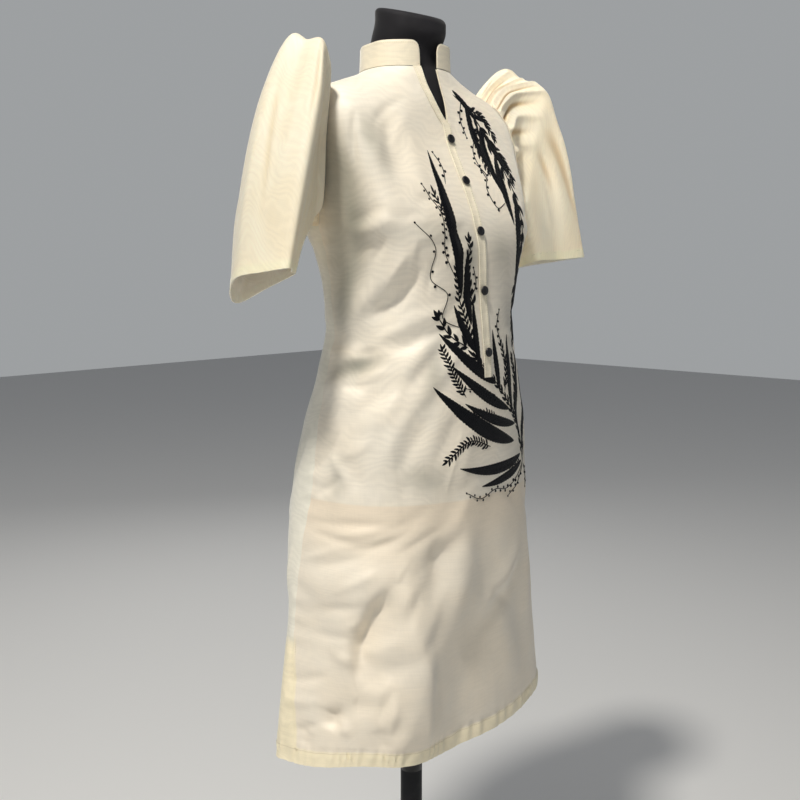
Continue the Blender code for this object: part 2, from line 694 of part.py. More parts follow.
def build_form():
    """Torso and neck in one smooth closed body with a flat underside."""
    points = []
    levels = heights(FORM_ROW_RUNS)
    for z in levels:
        for turn in spaced_turns(z, -math.pi, math.pi, FORM_COLUMNS)[:-1]:
            normal = section_normal(turn, z, folds=False)
            points.append(section_point(turn, z, folds=False) - normal * form_inset(turn, z))
    for c in range(FORM_COLUMNS):
        points[c].z = FORM_BOTTOM_Z
    shoulder = points[-FORM_COLUMNS:]
    directions = [Vector((p.x - NECK_CENTRE.x, p.y - NECK_CENTRE.y, 0)).normalized() for p in shoulder]
    neck = ((1.3985, 0.0555, 0.0), (1.409, 0.0510, 0.05), (1.423, 0.0492, 0.15), (1.440, 0.0484, 0.45),
            (NECK_COLUMN_TOP_Z, NECK_RADIUS, 1.0))
    for z, radius, lean in neck:
        tilt = math.tan(NECK_CAP_TILT) * lean
        centre = Vector((NECK_CENTRE.x, NECK_CENTRE.y + NECK_LEAN * lean, z))
        for out in directions:
            point = centre + out * radius
            point.z -= (point.y - centre.y) * tilt
            points.append(point)
    rows = len(levels) + len(neck)
    faces = grid_faces(rows, FORM_COLUMNS, closed=True)
    faces.append(tuple(reversed(range(FORM_COLUMNS))))
    faces.append(tuple((rows - 1) * FORM_COLUMNS + c for c in range(FORM_COLUMNS)))
    mesh = bpy.data.meshes.new("form_torso")
    mesh.from_pydata([tuple(p) for p in points], [], faces)
    mesh.update()
    return add_object("form_torso", mesh, (FORM_COLOUR, 0.75))


def build_stand():
    place = Vector((NECK_CENTRE.x, NECK_CENTRE.y + NECK_LEAN, NECK_COLUMN_TOP_Z + SEAM_GAP))
    cap = lathe(
        "form_neck_cap",
        [(0, 0)] + rounded(NECK_RADIUS, 0, NECK_CAP_THICKNESS, 0.006) + [(0, NECK_CAP_THICKNESS)],
        24,
        (FORM_COLOUR, 0.6),
    )
    cap.location = place
    cap.rotation_euler = (-NECK_CAP_TILT, 0, 0)
    pole_low = BASE_HUB_HEIGHT + SEAM_GAP
    pole_high = FORM_BOTTOM_Z - SEAM_GAP
    pole_profile = [(0, pole_low), (POLE_RADIUS, pole_low), (POLE_RADIUS, pole_high), (0, pole_high)]
    lathe("form_pole", pole_profile, 24, (STAND_COLOUR, 0.35, 0.6))
    plate = rounded(BASE_RADIUS, 0, BASE_THICKNESS, 0.008)
    hub = [(BASE_HUB_RADIUS, BASE_THICKNESS), (BASE_HUB_RADIUS * 0.72, BASE_HUB_HEIGHT)]
    lathe("form_base", [(0, 0)] + plate + hub + [(0, BASE_HUB_HEIGHT)], 36, (STAND_COLOUR, 0.4, 0.5))


def clear_scene():
    for obj in list(bpy.data.objects):
        bpy.data.objects.remove(obj, do_unlink=True)


clear_scene()
panel_rows = heights(PANEL_ROW_RUNS)
front_points = front_grid(panel_rows)
build_front(panel_rows, front_points)
back_points = back_grid(panel_rows)
build_back(back_points)
build_lining(panel_rows, front_points, back_points)
build_plackets(panel_rows, front_points)
build_collar()
build_sleeve("sleeve_right", -1, SLEEVE_RIGHT)
build_sleeve("sleeve_left", 1, SLEEVE_LEFT)
build_buttons(panel_rows, front_points)
build_form()
build_stand()
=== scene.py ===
import math

import bpy
import numpy as np
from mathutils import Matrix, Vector


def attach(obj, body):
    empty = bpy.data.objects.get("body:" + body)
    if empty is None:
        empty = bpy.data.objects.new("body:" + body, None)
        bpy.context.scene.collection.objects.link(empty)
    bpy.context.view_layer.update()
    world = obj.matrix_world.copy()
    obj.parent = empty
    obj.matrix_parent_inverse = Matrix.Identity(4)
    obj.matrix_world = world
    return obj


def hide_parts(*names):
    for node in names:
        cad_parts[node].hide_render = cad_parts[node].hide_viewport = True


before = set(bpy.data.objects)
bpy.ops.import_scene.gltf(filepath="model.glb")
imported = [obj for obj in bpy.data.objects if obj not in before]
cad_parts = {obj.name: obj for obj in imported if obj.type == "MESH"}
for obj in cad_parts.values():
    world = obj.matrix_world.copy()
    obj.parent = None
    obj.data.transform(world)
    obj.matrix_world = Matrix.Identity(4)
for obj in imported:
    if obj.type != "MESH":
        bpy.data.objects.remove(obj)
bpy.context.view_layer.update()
print("stage: frame loaded")

# the worn dress as level sections, the same ones that the solids were made from
dressHeights = {
    "hem": 0.500, "slitTop": 0.660, "liningHem": 0.828, "liningTop": 0.991, "placketEnd": 0.996,
    "underarm": 1.196, "notch": 1.327, "shoulderTip": 1.368, "neck": 1.402,
}
dressSections = {
    "height": (500, 580, 680, 780, 850, 930, 1000, 1060, 1110, 1160,
               1195, 1235, 1270, 1305, 1335, 1355, 1368, 1380, 1391, 1402),
    "halfWidth": (242, 225, 199, 188, 178, 166, 146, 135, 138, 146,
                  155, 160, 163, 166, 167, 163, 153, 121, 88, 61),
    "front": (1670, 1680, 1710, 1670, 1590, 1570, 1570, 1520, 1470, 1465,
              1390, 1210, 1000, 810, 700, 630, 570, 530, 500, 470),
    "back": (46, 49, 56, 94, 107, 86, 64, 54, 58, 74, 90, 104, 108, 107, 102, 95, 89, 83, 79, 77),
    "frontSquare": (29, 29, 27, 26, 25, 24, 24, 23, 25, 28, 32, 34, 36, 36, 30, 22, 18, 17, 18, 20),
    "backSquare": (24, 24, 23, 23, 23, 23, 23, 23, 23, 24, 26, 28, 29, 28, 25, 20, 17, 16, 17, 20),
    "seam": (30, 30, 32, 28, 20, 18, 18, 16, 14, 13, 12, 10, 8, 6, 4, 2, 0, 0, 0, 0),
    "sway": (-2, -4, -6, -3, 0, 0, 0, 0, 0, 0, 0, 0, 0, 0, 0, -1, -2, -3, -4, -5),
    "twist": (50, 45, 30, 20, 10, 0, -10, -20, -30, -40, -50, -50, -50, -50, -50, -50, -50, -50, -50, -50),
    "ease": (260, 260, 240, 200, 160, 140, 130, 130, 120, 90, 60, 40, 35, 32, 28, 34, 32, 19, 17, 20),
}
# turn in degrees from the centre front, spread, depth, and the heights between which each fold fades
foldUnits = (1, 1, 1e4, 1e3, 1e3)
largeFolds = (
    (-38, 8, 40, 460, 780), (-20, 9, -50, 480, 880), (-2, 8, 30, 460, 740), (24, 11, -40, 460, 800),
    (58, 10, 45, 460, 840), (118, 13, 50, 460, 860), (146, 10, -45, 460, 820), (172, 12, 50, 460, 900),
    (-160, 10, -40, 460, 780), (-128, 12, 50, 460, 860),
)
notchEdges = {
    "height": (1.327, 1.336, 1.347, 1.362, 1.380, 1.402),
    "right": (0.0006, 0.0070, 0.0125, 0.0180, 0.0215, 0.0225),
    "left": (0.0006, 0.0020, 0.0035, 0.0045, 0.0050, 0.0050),
}
armholes = {
    -1: {"front": 0.006, "back": 0.066, "fullest": 0.50},
    1: {"front": 0.061, "back": 0.062, "fullest": 0.55},
}
wall = {"cloth": 0.0015, "shell": 0.0008, "slitFlare": 0.060, "slitCut": 0.118, "gap": 0.0003}
shellLift = (wall["cloth"] - wall["shell"]) / 2


def smoothTable(keys, values):
    # a curve through the table's rows that never overshoots them
    keys, values = np.array(keys, float), np.array(values, float)
    rises = np.diff(values, axis=0) / np.diff(keys).reshape(-1, *([1] * (values.ndim - 1)))
    product, total = rises[:-1] * rises[1:], rises[:-1] + rises[1:]
    inner = np.where(product > 0, 2 * product / np.where(total == 0, 1, total), 0)
    slopes = np.concatenate([rises[:1], inner, rises[-1:]])

    def at(key):
        key = np.clip(key, keys[0], keys[-1])
        i = np.clip(np.searchsorted(keys, key, side="right") - 1, 0, len(keys) - 2)
        step = keys[i + 1] - keys[i]
        t = (key - keys[i]) / step
        if values.ndim > 1:
            step, t = step[..., None], t[..., None]
        bend = slopes[i] * (t ** 3 - 2 * t ** 2 + t) + slopes[i + 1] * (t ** 3 - t ** 2)
        level = values[i] * (2 * t ** 3 - 3 * t ** 2 + 1) + values[i + 1] * (3 * t ** 2 - 2 * t ** 3)
        return level + step * bend

    return at


sectionUnits = {"front": 1e4, "frontSquare": 10, "backSquare": 10, "twist": 10, "ease": 1e4}
sections = {name: np.array(row) / sectionUnits.get(name, 1e3) for name, row in dressSections.items()}
sectionHeights = sections.pop("height")
shape = {name: smoothTable(sectionHeights, row) for name, row in sections.items()}
notchAt = {name: smoothTable(notchEdges["height"], notchEdges[name]) for name in ("right", "left")}


def smoothStep(value):
    value = np.clip(value, 0.0, 1.0)
    return value * value * (3 - 2 * value)


def wrapped(degrees):
    return (degrees + 180) % 360 - 180


def matched(first, second):
    # two values or arrays as arrays of one shape
    return np.broadcast_arrays(np.asarray(first, float), np.asarray(second, float))


def bell(away):
    return np.exp(-away ** 2)


def travel(points, axis=0):
    # the distance run along rows of points, from 0
    steps = np.cumsum(np.linalg.norm(np.diff(points, axis=axis), axis=-1), axis=axis)
    return np.concatenate([np.zeros_like(steps.take([0], axis)), steps], axis=axis)


def endAway(run):
    # the distance from the nearer end of each row
    return np.minimum(run, run[..., -1:] - run)


def bodyPoint(turn, z, folds=True):
    turn, z = matched(turn, z)
    sine, cosine = np.sin(turn), np.cos(turn)
    facing = cosine >= 0
    depth = np.where(facing, shape["front"](z), shape["back"](z))
    power = 2 / np.where(facing, shape["frontSquare"](z), shape["backSquare"](z))
    x = shape["halfWidth"](z) * np.sign(sine) * np.abs(sine) ** power
    y = -depth * np.sign(cosine) * np.abs(cosine) ** power
    if folds:
        out = np.zeros_like(x)
        for centre, width, foldDepth, low, high in np.array(largeFolds) / foldUnits:
            away = wrapped(np.degrees(turn) - centre)
            out += foldDepth * smoothStep((high - z) / (high - low)) * bell(away / width)
        grow = 1 + out / np.hypot(x, y)
        x, y = x * grow, y * grow
    y = y + shape["seam"](z)
    twist = np.radians(shape["twist"](z))
    across = x * np.cos(twist) - y * np.sin(twist) + shape["sway"](z)
    return np.stack([across, x * np.sin(twist) + y * np.cos(twist), z], axis=-1)


def unit(vectors):
    return vectors / np.maximum(np.linalg.norm(vectors, axis=-1, keepdims=True), 1e-12)


def bodyNormal(turn, z, folds=True):
    turnStep, heightStep = 0.02, 0.004
    around = bodyPoint(turn + turnStep, z, folds) - bodyPoint(turn - turnStep, z, folds)
    top = np.minimum(z + heightStep, dressHeights["neck"])
    up = bodyPoint(turn, top, folds) - bodyPoint(turn, top - 2 * heightStep, folds)
    return unit(np.cross(around, up))


def turnAtDepth(z, depth, side, front=True):
    name = "front" if front else "back"
    share = np.minimum(depth / shape[name](z), 0.98)
    angle = np.arccos(share ** (shape[name + "Square"](z) / 2))
    return side * (angle if front else math.pi - angle)


def turnAtWidth(z, width):
    share = np.abs(width) / shape["halfWidth"](z)
    return np.copysign(np.arcsin(share ** (shape["frontSquare"](z) / 2)), width)


def evenTurns(z, start, end, count):
    # turns from start to end, row by row, whose points are evenly spaced along each section
    turns = start[:, None] + (end - start)[:, None] * np.linspace(0, 1, 240)
    shares = np.linspace(0, 1, count + 1)
    rows = zip(travel(bodyPoint(turns, z[:, None]), 1), turns)
    return np.array([np.interp(shares * run[-1], run, row) for run, row in rows])


def armholeDepth(z, side, front):
    low, high = dressHeights["underarm"], dressHeights["shoulderTip"]
    hole = armholes[side]
    up = np.clip((z - low) / (high - low), 0, 1)
    fullest = hole["fullest"]
    skewed = np.where(up < fullest, up / (2 * fullest), 1 - (1 - up) / (2 * (1 - fullest)))
    return hole["front" if front else "back"] * np.maximum(1 - (2 * skewed - 1) ** 2, 0) ** 0.45


def edgeDepth(z, side, front):
    slit = np.maximum(dressHeights["slitTop"] - z, 0) * wall["slitFlare"]
    return slit / 2 + armholeDepth(z, side, front)


def slitCut(z):
    # how far the front's edge of each slit stands behind the solid's: the back's facing shows there
    return np.maximum(dressHeights["slitTop"] - z, 0) * wall["slitCut"]


def levels(*runs):
    # heights from pairs of a height and the number of steps up to it
    found = [runs[0][0]]
    for (low, _), (high, steps) in zip(runs, runs[1:]):
        found += [low + (high - low) * (i + 1) / steps for i in range(steps)]
    return np.array(found)


# where a spot on the dress lies: u runs round the dress from the centre front, z is the height
mapTurns = np.radians(np.linspace(-180, 180, 721))
mapHeights = np.linspace(dressHeights["hem"], dressHeights["neck"], 301)
mapRun = travel(bodyPoint(mapTurns[None, :], mapHeights[:, None]), 1)
mapRun -= mapRun[:, [len(mapTurns) // 2]]
mapU = np.linspace(-0.62, 0.62, 621)
mapTurnOfU = np.array([np.interp(mapU, run, mapTurns) for run in mapRun])


def gridRead(table, rowPlace, columnPlace):
    r = np.clip(rowPlace.astype(int), 0, table.shape[0] - 2)
    c = np.clip(columnPlace.astype(int), 0, table.shape[1] - 2)
    a, b = rowPlace - r, columnPlace - c
    low = table[r, c] * (1 - b) + table[r, c + 1] * b
    return low * (1 - a) + (table[r + 1, c] * (1 - b) + table[r + 1, c + 1] * b) * a


def rowPlaceOf(z):
    span = dressHeights["neck"] - dressHeights["hem"]
    return np.clip((z - dressHeights["hem"]) / span, 0, 1) * (len(mapHeights) - 1)


def turnOfSpot(u, z):
    u, z = matched(u, z)
    return gridRead(mapTurnOfU, rowPlaceOf(z), (u - mapU[0]) / (mapU[1] - mapU[0]))


def runOfTurn(turn, z):
    turn, z = matched(turn, z)
    turn = (turn + math.pi) % (2 * math.pi) - math.pi
    return gridRead(mapRun, rowPlaceOf(z), (np.degrees(turn) + 180) * 2)


# creases: turn, height, length, width, depth (- is a trough), lean from upright, bend
creaseUnits = (1, 1e3, 1e3, 1e4, 1e4, 1, 10)
frontCreases = (
    # drag lines over the bust and under the arms
    (-62, 1205, 95, 90, -22, 72, 14), (-58, 1192, 110, 80, 18, 76, 12), (-66, 1165, 80, 70, -18, 64, 9),
    (-49, 1246, 120, 110, -22, 38, 10), (-44, 1262, 105, 95, 20, 34, 8), (-57, 1300, 85, 80, -16, 22, 6),
    (-30, 1338, 70, 75, -16, 48, -8), (-21, 1310, 85, 90, 14, 30, -6), (-34, 1205, 75, 65, -13, 84, 5),
    (-17, 1226, 60, 60, -12, 78, 7), (-24, 1178, 90, 65, 13, 82, -6), (34, 1236, 90, 85, -18, -42, -9),
    (48, 1206, 85, 75, -20, -66, -8), (54, 1186, 100, 80, 16, -72, -10), (31, 1318, 70, 80, -14, -40, 6),
    # waist
    (-58, 1092, 85, 75, -26, 58, 11), (-49, 1066, 110, 85, 24, 62, 10), (-43, 1046, 95, 75, -26, 66, 8),
    (-62, 1038, 80, 80, -22, 74, 5), (-30, 1082, 80, 70, 16, 68, -9), (-25, 1060, 70, 60, -17, 72, -8),
    (-37, 1014, 120, 100, -28, 44, -12), (-29, 998, 130, 95, 26, 40, -12), (-56, 982, 120, 105, -22, 52, 9),
    (-14, 1036, 75, 60, -14, 80, 5), (40, 1072, 80, 75, -24, -60, -8), (51, 1050, 95, 80, 22, -64, -10),
    (33, 1026, 85, 70, -20, -54, 9), (58, 1016, 85, 85, -20, -70, -6), (22, 1046, 60, 55, 12, -76, 4),
    (-75, 1013, 110, 80, -34, 75, 3), (-73, 1031, 105, 85, 22, 75, 4),
    # hip and thigh
    (-48, 936, 150, 120, 22, 30, -13), (-40, 914, 120, 100, -20, 34, -10), (-22, 922, 95, 90, -18, 24, 9),
    (-12, 898, 110, 95, 16, 12, 7), (26, 936, 120, 105, -20, -26, 9), (44, 904, 130, 110, 20, -20, -7),
    # skirt
    (-33, 735, 180, 140, -46, 34, 15), (-41, 715, 150, 110, 34, 38, 12), (-28, 690, 110, 100, 30, 26, 10),
    (-49, 624, 90, 130, -40, 58, 18), (-57, 652, 100, 110, 28, 66, 8), (-60, 585, 75, 120, -30, 80, 12),
    (-24, 588, 120, 130, -36, -8, 12), (-31, 612, 100, 120, 30, 4, -8), (-11, 700, 230, 150, 40, -6, 8),
    (-3, 640, 190, 130, -36, -10, -8), (6, 735, 150, 120, 24, -14, 7), (18, 620, 200, 170, -40, -6, 9),
    (30, 700, 170, 140, 34, 8, -8), (41, 600, 150, 150, -36, 4, 6), (55, 680, 160, 130, 30, 12, 7),
    (-38, 545, 80, 100, 24, 14, 5), (-45, 805, 110, 100, -18, 50, 9), (-16, 812, 100, 90, 16, 30, -8),
    (14, 820, 100, 95, -16, -32, 7), (36, 806, 120, 100, -18, -40, -9),
    # small sharp ones: under the lining's hem
    (-70, 812, 110, 50, -18, 84, 9), (-66, 800, 90, 45, 14, 80, -8), (-76, 792, 70, 46, -17, 96, 11),
    (-58, 786, 85, 50, -15, 74, 9), (-50, 800, 70, 48, 13, 68, -7), (-82, 770, 60, 48, 16, 60, 14),
    (-72, 764, 80, 54, -17, 70, -10), (-34, 792, 75, 50, -13, 62, 8),
    # beside the hip
    (-84, 905, 75, 58, -26, 24, 18), (-78, 880, 60, 52, 20, -34, 15), (-82, 858, 55, 50, -20, 48, -12),
    (-70, 905, 70, 60, 15, 58, 10),
    # over the thigh
    (-64, 740, 70, 56, 18, 58, 10), (-70, 705, 80, 60, -20, 78, -9), (-60, 690, 60, 52, 16, 66, 8),
    (-74, 668, 55, 54, -18, 88, 10), (-66, 640, 60, 56, 15, -70, 10), (-38, 700, 75, 60, -16, 20, -9),
    (-10, 760, 90, 60, 14, -34, 8), (4, 690, 80, 58, -14, -40, -8),
    # by the slit and the hem
    (-84, 610, 50, 48, -20, 62, 12), (-86, 580, 45, 48, 16, 70, -10), (-84, 548, 45, 50, -20, 56, 12),
    (-71, 568, 42, 110, -42, 20, 20), (-66, 556, 36, 60, 22, -30, 15), (-47, 588, 52, 62, -30, 16, 10),
    (-40, 556, 50, 60, -26, -14, 10), (-43, 574, 60, 52, 20, 2, 8),
    # waist and bust
    (-72, 1030, 50, 48, -20, 82, 13), (-66, 1000, 55, 48, 16, 70, -11), (-76, 986, 45, 45, -18, 88, 9),
    (-52, 1130, 90, 60, 18, 40, 10), (-45, 1112, 100, 56, -18, 42, 8), (-60, 1160, 60, 50, -14, 50, -10),
    (-40, 1150, 70, 50, 12, 30, 9), (-30, 1130, 60, 48, -12, 24, -10),
)
backCreases = (
    (118, 1205, 90, 80, -22, -68, -10), (-120, 1212, 100, 85, -22, 66, 11),
    (131, 1246, 110, 100, 20, -40, -8), (-133, 1240, 100, 95, 18, 42, 9), (150, 1305, 90, 90, -16, -24, 8),
    (-152, 1318, 100, 95, -16, 20, -6), (175, 1352, 110, 80, -14, 84, 7),
    (-172, 1262, 140, 110, 14, -12, 6), (165, 1150, 160, 120, -22, -10, 8),
    (-158, 1128, 130, 105, 20, 18, -9), (126, 1082, 105, 85, -30, -60, -11),
    (140, 1058, 120, 90, 26, -64, -9), (152, 1036, 100, 80, -26, -70, 8), (172, 1046, 95, 75, 20, -82, 6),
    (-170, 1072, 90, 80, -24, 80, -6), (-155, 1050, 115, 85, 24, 72, 9), (-141, 1030, 110, 90, -28, 62, 11),
    (-124, 1066, 85, 80, 24, 56, 8), (-128, 1000, 120, 100, -22, 48, -9),
    (134, 1004, 130, 105, -22, -46, 10), (158, 985, 110, 95, 20, -36, -7),
    (-164, 975, 120, 100, -18, 32, 8), (147, 872, 140, 120, -20, -22, 9),
    (-146, 880, 150, 125, 20, 24, -10), (178, 850, 170, 130, 18, 4, 6), (168, 735, 200, 150, -38, -6, 9),
    (-171, 660, 210, 150, 36, 8, -8), (151, 640, 180, 140, 32, -10, 8), (-152, 700, 190, 150, -40, 6, 9),
    (133, 700, 170, 140, -34, 10, -7), (-134, 610, 150, 140, 34, -6, 6), (119, 610, 120, 120, 26, -18, 8),
    (-118, 660, 140, 120, -28, 16, -8), (160, 560, 90, 110, -26, 12, 6), (-160, 556, 85, 110, 24, -14, 5),
    # small sharp ones on the wearer's left
    (62, 760, 120, 70, -24, -40, 9), (70, 730, 100, 65, 20, -46, -8), (78, 700, 90, 60, -22, -58, 10),
    (66, 640, 110, 75, -26, -24, -9), (76, 600, 80, 60, 20, -60, 11), (60, 560, 70, 60, -22, 14, 8),
    (72, 880, 90, 60, -20, -30, 10), (64, 920, 80, 55, 18, -44, -9), (74, 1030, 60, 50, -22, -80, 11),
    (66, 1052, 70, 50, 18, -72, -10), (70, 1150, 70, 55, -18, -60, 9), (58, 1120, 80, 55, 16, -48, -8),
    # and on the back
    (104, 900, 90, 65, -22, -30, 10), (112, 870, 80, 60, 18, -36, -9), (124, 780, 120, 70, -24, -18, 9),
    (140, 760, 100, 65, 20, 12, -8), (156, 800, 110, 70, -22, -20, 9), (172, 600, 100, 70, 22, 14, 8),
    (-176, 770, 120, 75, -22, 10, -7), (-160, 820, 100, 65, 18, 24, 8), (-142, 760, 110, 70, -24, -14, 9),
    (-126, 800, 90, 65, 20, 26, -9), (-110, 880, 90, 60, -22, 34, 10), (-104, 740, 100, 65, 20, 20, 8),
    (-112, 600, 80, 60, -22, -22, 10), (110, 620, 80, 60, 20, 24, -9), (146, 540, 60, 60, -22, 8, 8),
    (-146, 545, 60, 60, 20, -10, 7), (160, 1210, 130, 80, -16, -8, 6), (-150, 1200, 120, 80, 14, 12, -6),
    (122, 1150, 80, 60, -20, -54, -10), (-122, 1150, 80, 60, -20, 52, 10), (180, 1010, 100, 60, -24, 86, 8),
    (-150, 955, 110, 70, 18, 66, 9), (150, 950, 100, 65, -18, -62, -8), (-172, 925, 120, 70, -16, 80, 7),
)
metresPerDegree, creaseGain = 0.0026, 1.35
clothEdges = {
    "pucker": 0.0006, "puckerReach": 0.014, "seamDip": 0.0011, "seamWidth": 0.0028, "armholeCalm": 0.024,
    "neckCalm": 0.03, "crimp": 0.0015, "crimpHeight": 0.012, "crimpReach": 0.011,
    "hemDip": 0.0011, "hemRow": 0.0195, "hemRowWidth": 0.0024, "placketHalf": 0.010, "placketReach": 0.028,
    "placketFoot": 0.985, "placketFade": 0.04, "placketLeft": 0.12,
}
# longer folds that follow a path: in tenths of a mm the width on its far and near side and the height
# (- is a trough), then 1 for a crisp line, and the path's u and z in mm
foldLines = (
    # beside the armhole, over the bust and across to the waist
    (200, 300, -58, 0, -180, 1300, -205, 1200, -210, 1100),
    (200, 240, 34, 0, -128, 1320, -142, 1240, -136, 1165),
    (120, 160, -28, 0, -98, 1345, -110, 1280, -116, 1236),
    (140, 180, 22, 0, -70, 1340, -80, 1270, -78, 1220),
    (180, 100, 44, 0, -98, 1182, -135, 1135, -176, 1092, -205, 1062),
    (110, 160, -36, 0, -90, 1140, -130, 1098, -168, 1058),
    (80, 100, -24, 0, -10, 1192, -36, 1188, -60, 1176), (70, 100, 20, 0, -10, 1170, -40, 1160, -66, 1140),
    (80, 120, -22, 0, -14, 1112, -48, 1098, -74, 1070),
    # waist and hip
    (140, 180, -48, 0, -250, 1062, -205, 1036, -155, 1034),
    (200, 180, 46, 0, -252, 1002, -220, 976, -175, 962), (160, 120, 42, 0, -85, 1055, -134, 986, -178, 920),
    (120, 180, -26, 0, -60, 1036, -108, 962, -142, 900), (140, 100, 18, 0, -150, 940, -156, 890, -157, 842),
    (90, 130, -14, 0, -132, 912, -136, 874, -141, 842), (35, 45, 16, 1, -50, 936, -68, 888, -88, 840),
    (160, 140, -26, 0, -230, 905, -205, 880, -196, 850),
    # skirt front: a level ridge over the thigh, the long break below it and a deep hollow beside it
    (260, 200, 52, 0, -300, 722, -216, 738, -150, 756),
    (500, 340, 185, 1, -145, 790, -144, 750, -139, 680, -131, 608, -146, 480),
    (90, 260, -165, 0, -158, 738, -184, 702, -207, 660, -222, 606),
    (160, 140, 40, 0, -190, 742, -220, 694, -246, 630), (140, 120, 34, 0, -186, 640, -182, 590, -176, 548),
    (150, 150, -46, 0, -262, 582, -266, 552), (120, 120, -34, 0, -298, 548, -306, 522),
    (120, 120, -30, 0, -200, 560, -194, 520), (240, 300, 56, 0, -51, 864, -56, 744, -94, 644, -116, 590),
    (160, 180, -46, 0, -92, 800, -100, 730, -112, 680), (120, 200, 34, 0, -28, 676, 30, 710, 96, 752),
    (160, 180, -32, 0, -34, 632, 20, 670, 90, 716), (400, 450, -90, 0, -62, 720, -62, 600, -58, 440),
    (400, 400, -52, 0, -232, 640, -240, 440), (280, 220, 60, 1, 150, 760, 162, 660, 170, 540),
    (160, 200, -50, 0, 215, 740, 226, 660, 220, 560),
    # back and left side
    (120, 160, -40, 0, 268, 1082, 320, 1058, 372, 1052), (140, 140, 36, 0, 262, 1040, 310, 1018, 360, 1016),
    (140, 120, -40, 0, -262, 1078, -318, 1050, -366, 1044),
    (140, 140, 34, 0, -270, 1030, -322, 1006, -370, 1004), (260, 200, -52, 0, 330, 860, 352, 740, 372, 560),
    (300, 240, 64, 1, 398, 820, 424, 680, 446, 500), (220, 260, -52, 0, -352, 850, -380, 720, -404, 540),
    (260, 300, 60, 1, -418, 830, -446, 690, -470, 500),
)


def alongLean(x, y, lean):
    # how far a place lies along and across a line that leans by so many degrees
    sine, cosine = math.sin(math.radians(lean)), math.cos(math.radians(lean))
    return x * sine + y * cosine, x * cosine - y * sine


def places(row, across=2):
    # points in metres from a row of whole millimetres
    return np.reshape(row, (-1, across)) / 1e3


def softEnds(share):
    return np.clip(1 - share ** 2, 0, 1) ** 1.5


def creaseOut(turn, z, creases):
    out = np.zeros(np.broadcast(turn, z).shape)
    degrees = np.degrees(turn)
    for where, height, length, width, depth, lean, bend in np.array(creases) / creaseUnits:
        along, across = alongLean(wrapped(degrees - where) * metresPerDegree, z - height, lean)
        across = across - bend * along * np.abs(along)
        fade = softEnds(2 * along / length)
        out += depth * fade * bell(across / (width * (0.75 + 0.45 * fade)))
    return out


def foldOut(u, z):
    # the height of the fold lines at these places, fading at each path's ends
    out = np.zeros(np.broadcast(u, z).shape)
    for far, near, height, crisp, *path in foldLines:
        path = places(path)
        legs, travelled, best = np.diff(path, axis=0), travel(path), None
        for start, leg, before in zip(path, legs, travelled):
            size = np.linalg.norm(leg)
            x, y = u - start[0], z - start[1]
            along = np.clip((x * leg[0] + y * leg[1]) / size, 0, size)
            x, y = x - along * leg[0] / size, y - along * leg[1] / size
            found = (x ** 2 + y ** 2, np.where(leg[0] * y - leg[1] * x > 0, near, far), along + before)
            best = best or found
            best = [np.where(found[0] < best[0], a, b) for a, b in zip(found, best)]
        away, width, run = best
        share = run / travelled[-1]
        fade = smoothStep(np.minimum(share, 1 - share) / 0.30) * 0.85 + 0.15
        away = np.sqrt(away) / (width / 1e4)
        profile = np.exp(-(np.sqrt(away ** 2 + 0.02) - 0.1414)) if crisp else bell(away)
        out += height / 1e4 * fade * profile
    return out


def seamPull(turn, z):
    # the cloth dips along the side seams and pulls into small uneven puckers beside them
    degrees = np.degrees(turn)
    away = np.minimum(np.abs(wrapped(degrees - 90)), np.abs(wrapped(degrees + 90))) * metresPerDegree
    pucker = np.sin(z * 196 + 2.1 * np.sin(z * 37)) * bell(away / clothEdges["puckerReach"])
    return pucker * clothEdges["pucker"] - clothEdges["seamDip"] * bell(away / clothEdges["seamWidth"])


# painted shade: soft dark spots where folds and the near sleeve's shadow darken the cloth, partly the dark
# form showing through where the cloth lies on it: u, height, half height, half width, lean, strength
spotUnits = (1e3, 1e3, 1e3, 1e3, 1, 100)
shownSpots = (
    (-214, 1262, 70, 22, 2, 72), (-222, 1160, 56, 24, 4, 66), (-212, 1085, 34, 22, 10, 55),
    (-183, 1275, 60, 26, 3, 82), (-188, 1200, 62, 26, 4, 95), (-200, 1125, 52, 20, 12, 85),
    (-194, 1013, 13, 36, -14, 95), (-222, 1003, 9, 20, -10, 25), (-131, 1296, 40, 20, -8, 62),
    (-60, 1182, 15, 46, 4, 55), (-22, 1150, 34, 18, 0, 55), (-36, 1092, 40, 20, 8, 35),
    (-88, 1004, 36, 11, 16, 55), (-112, 872, 18, 36, 10, 50), (-230, 868, 30, 12, 14, 30),
    (36, 1165, 30, 26, 0, 50), (60, 1060, 50, 30, -6, 40), (180, 1230, 70, 26, -3, 75),
    (196, 1120, 56, 22, -10, 70), (204, 1012, 14, 36, -4, 60), (110, 880, 30, 40, 0, 40),
    (330, 1290, 60, 70, 20, 30), (-330, 1285, 66, 68, -20, 30), (-300, 1020, 16, 50, 10, 30),
    (310, 1024, 16, 50, -8, 30),
)


# how much painted shade the spots put on the cloth here, partly the dark form showing through
def paintedShadeAndShowThrough(turn, z):
    u, shown = runOfTurn(turn, z), np.zeros(np.broadcast(turn, z).shape)
    for where, height, tall, wide, lean, strength in np.array(shownSpots) / spotUnits:
        along, across = alongLean(u - where, z - height, lean)
        shown = 1 - (1 - shown) * (1 - strength * np.exp(-((across / wide) ** 2 + (along / tall) ** 2)))
    return shown * smoothStep((armholeAway(turn, z, u) - 0.001) / 0.006)


def armholeAway(turn, z, u):
    # about how far a place lies from the nearest armhole seam
    across = np.full(u.shape, 9.0)
    for side in (-1, 1):
        for front in (True, False):
            here = (np.sin(turn) * side >= 0) & ((np.cos(turn) >= 0) == front)
            edge = runOfTurn(turnAtDepth(z, armholeDepth(z, side, front), side, front), z)
            across = np.where(here, np.abs(u - edge), across)
    under, over = dressHeights["underarm"], dressHeights["shoulderTip"]
    return np.where((z > under) & (z < over), across, np.hypot(across, np.maximum(under - z, z - over)))


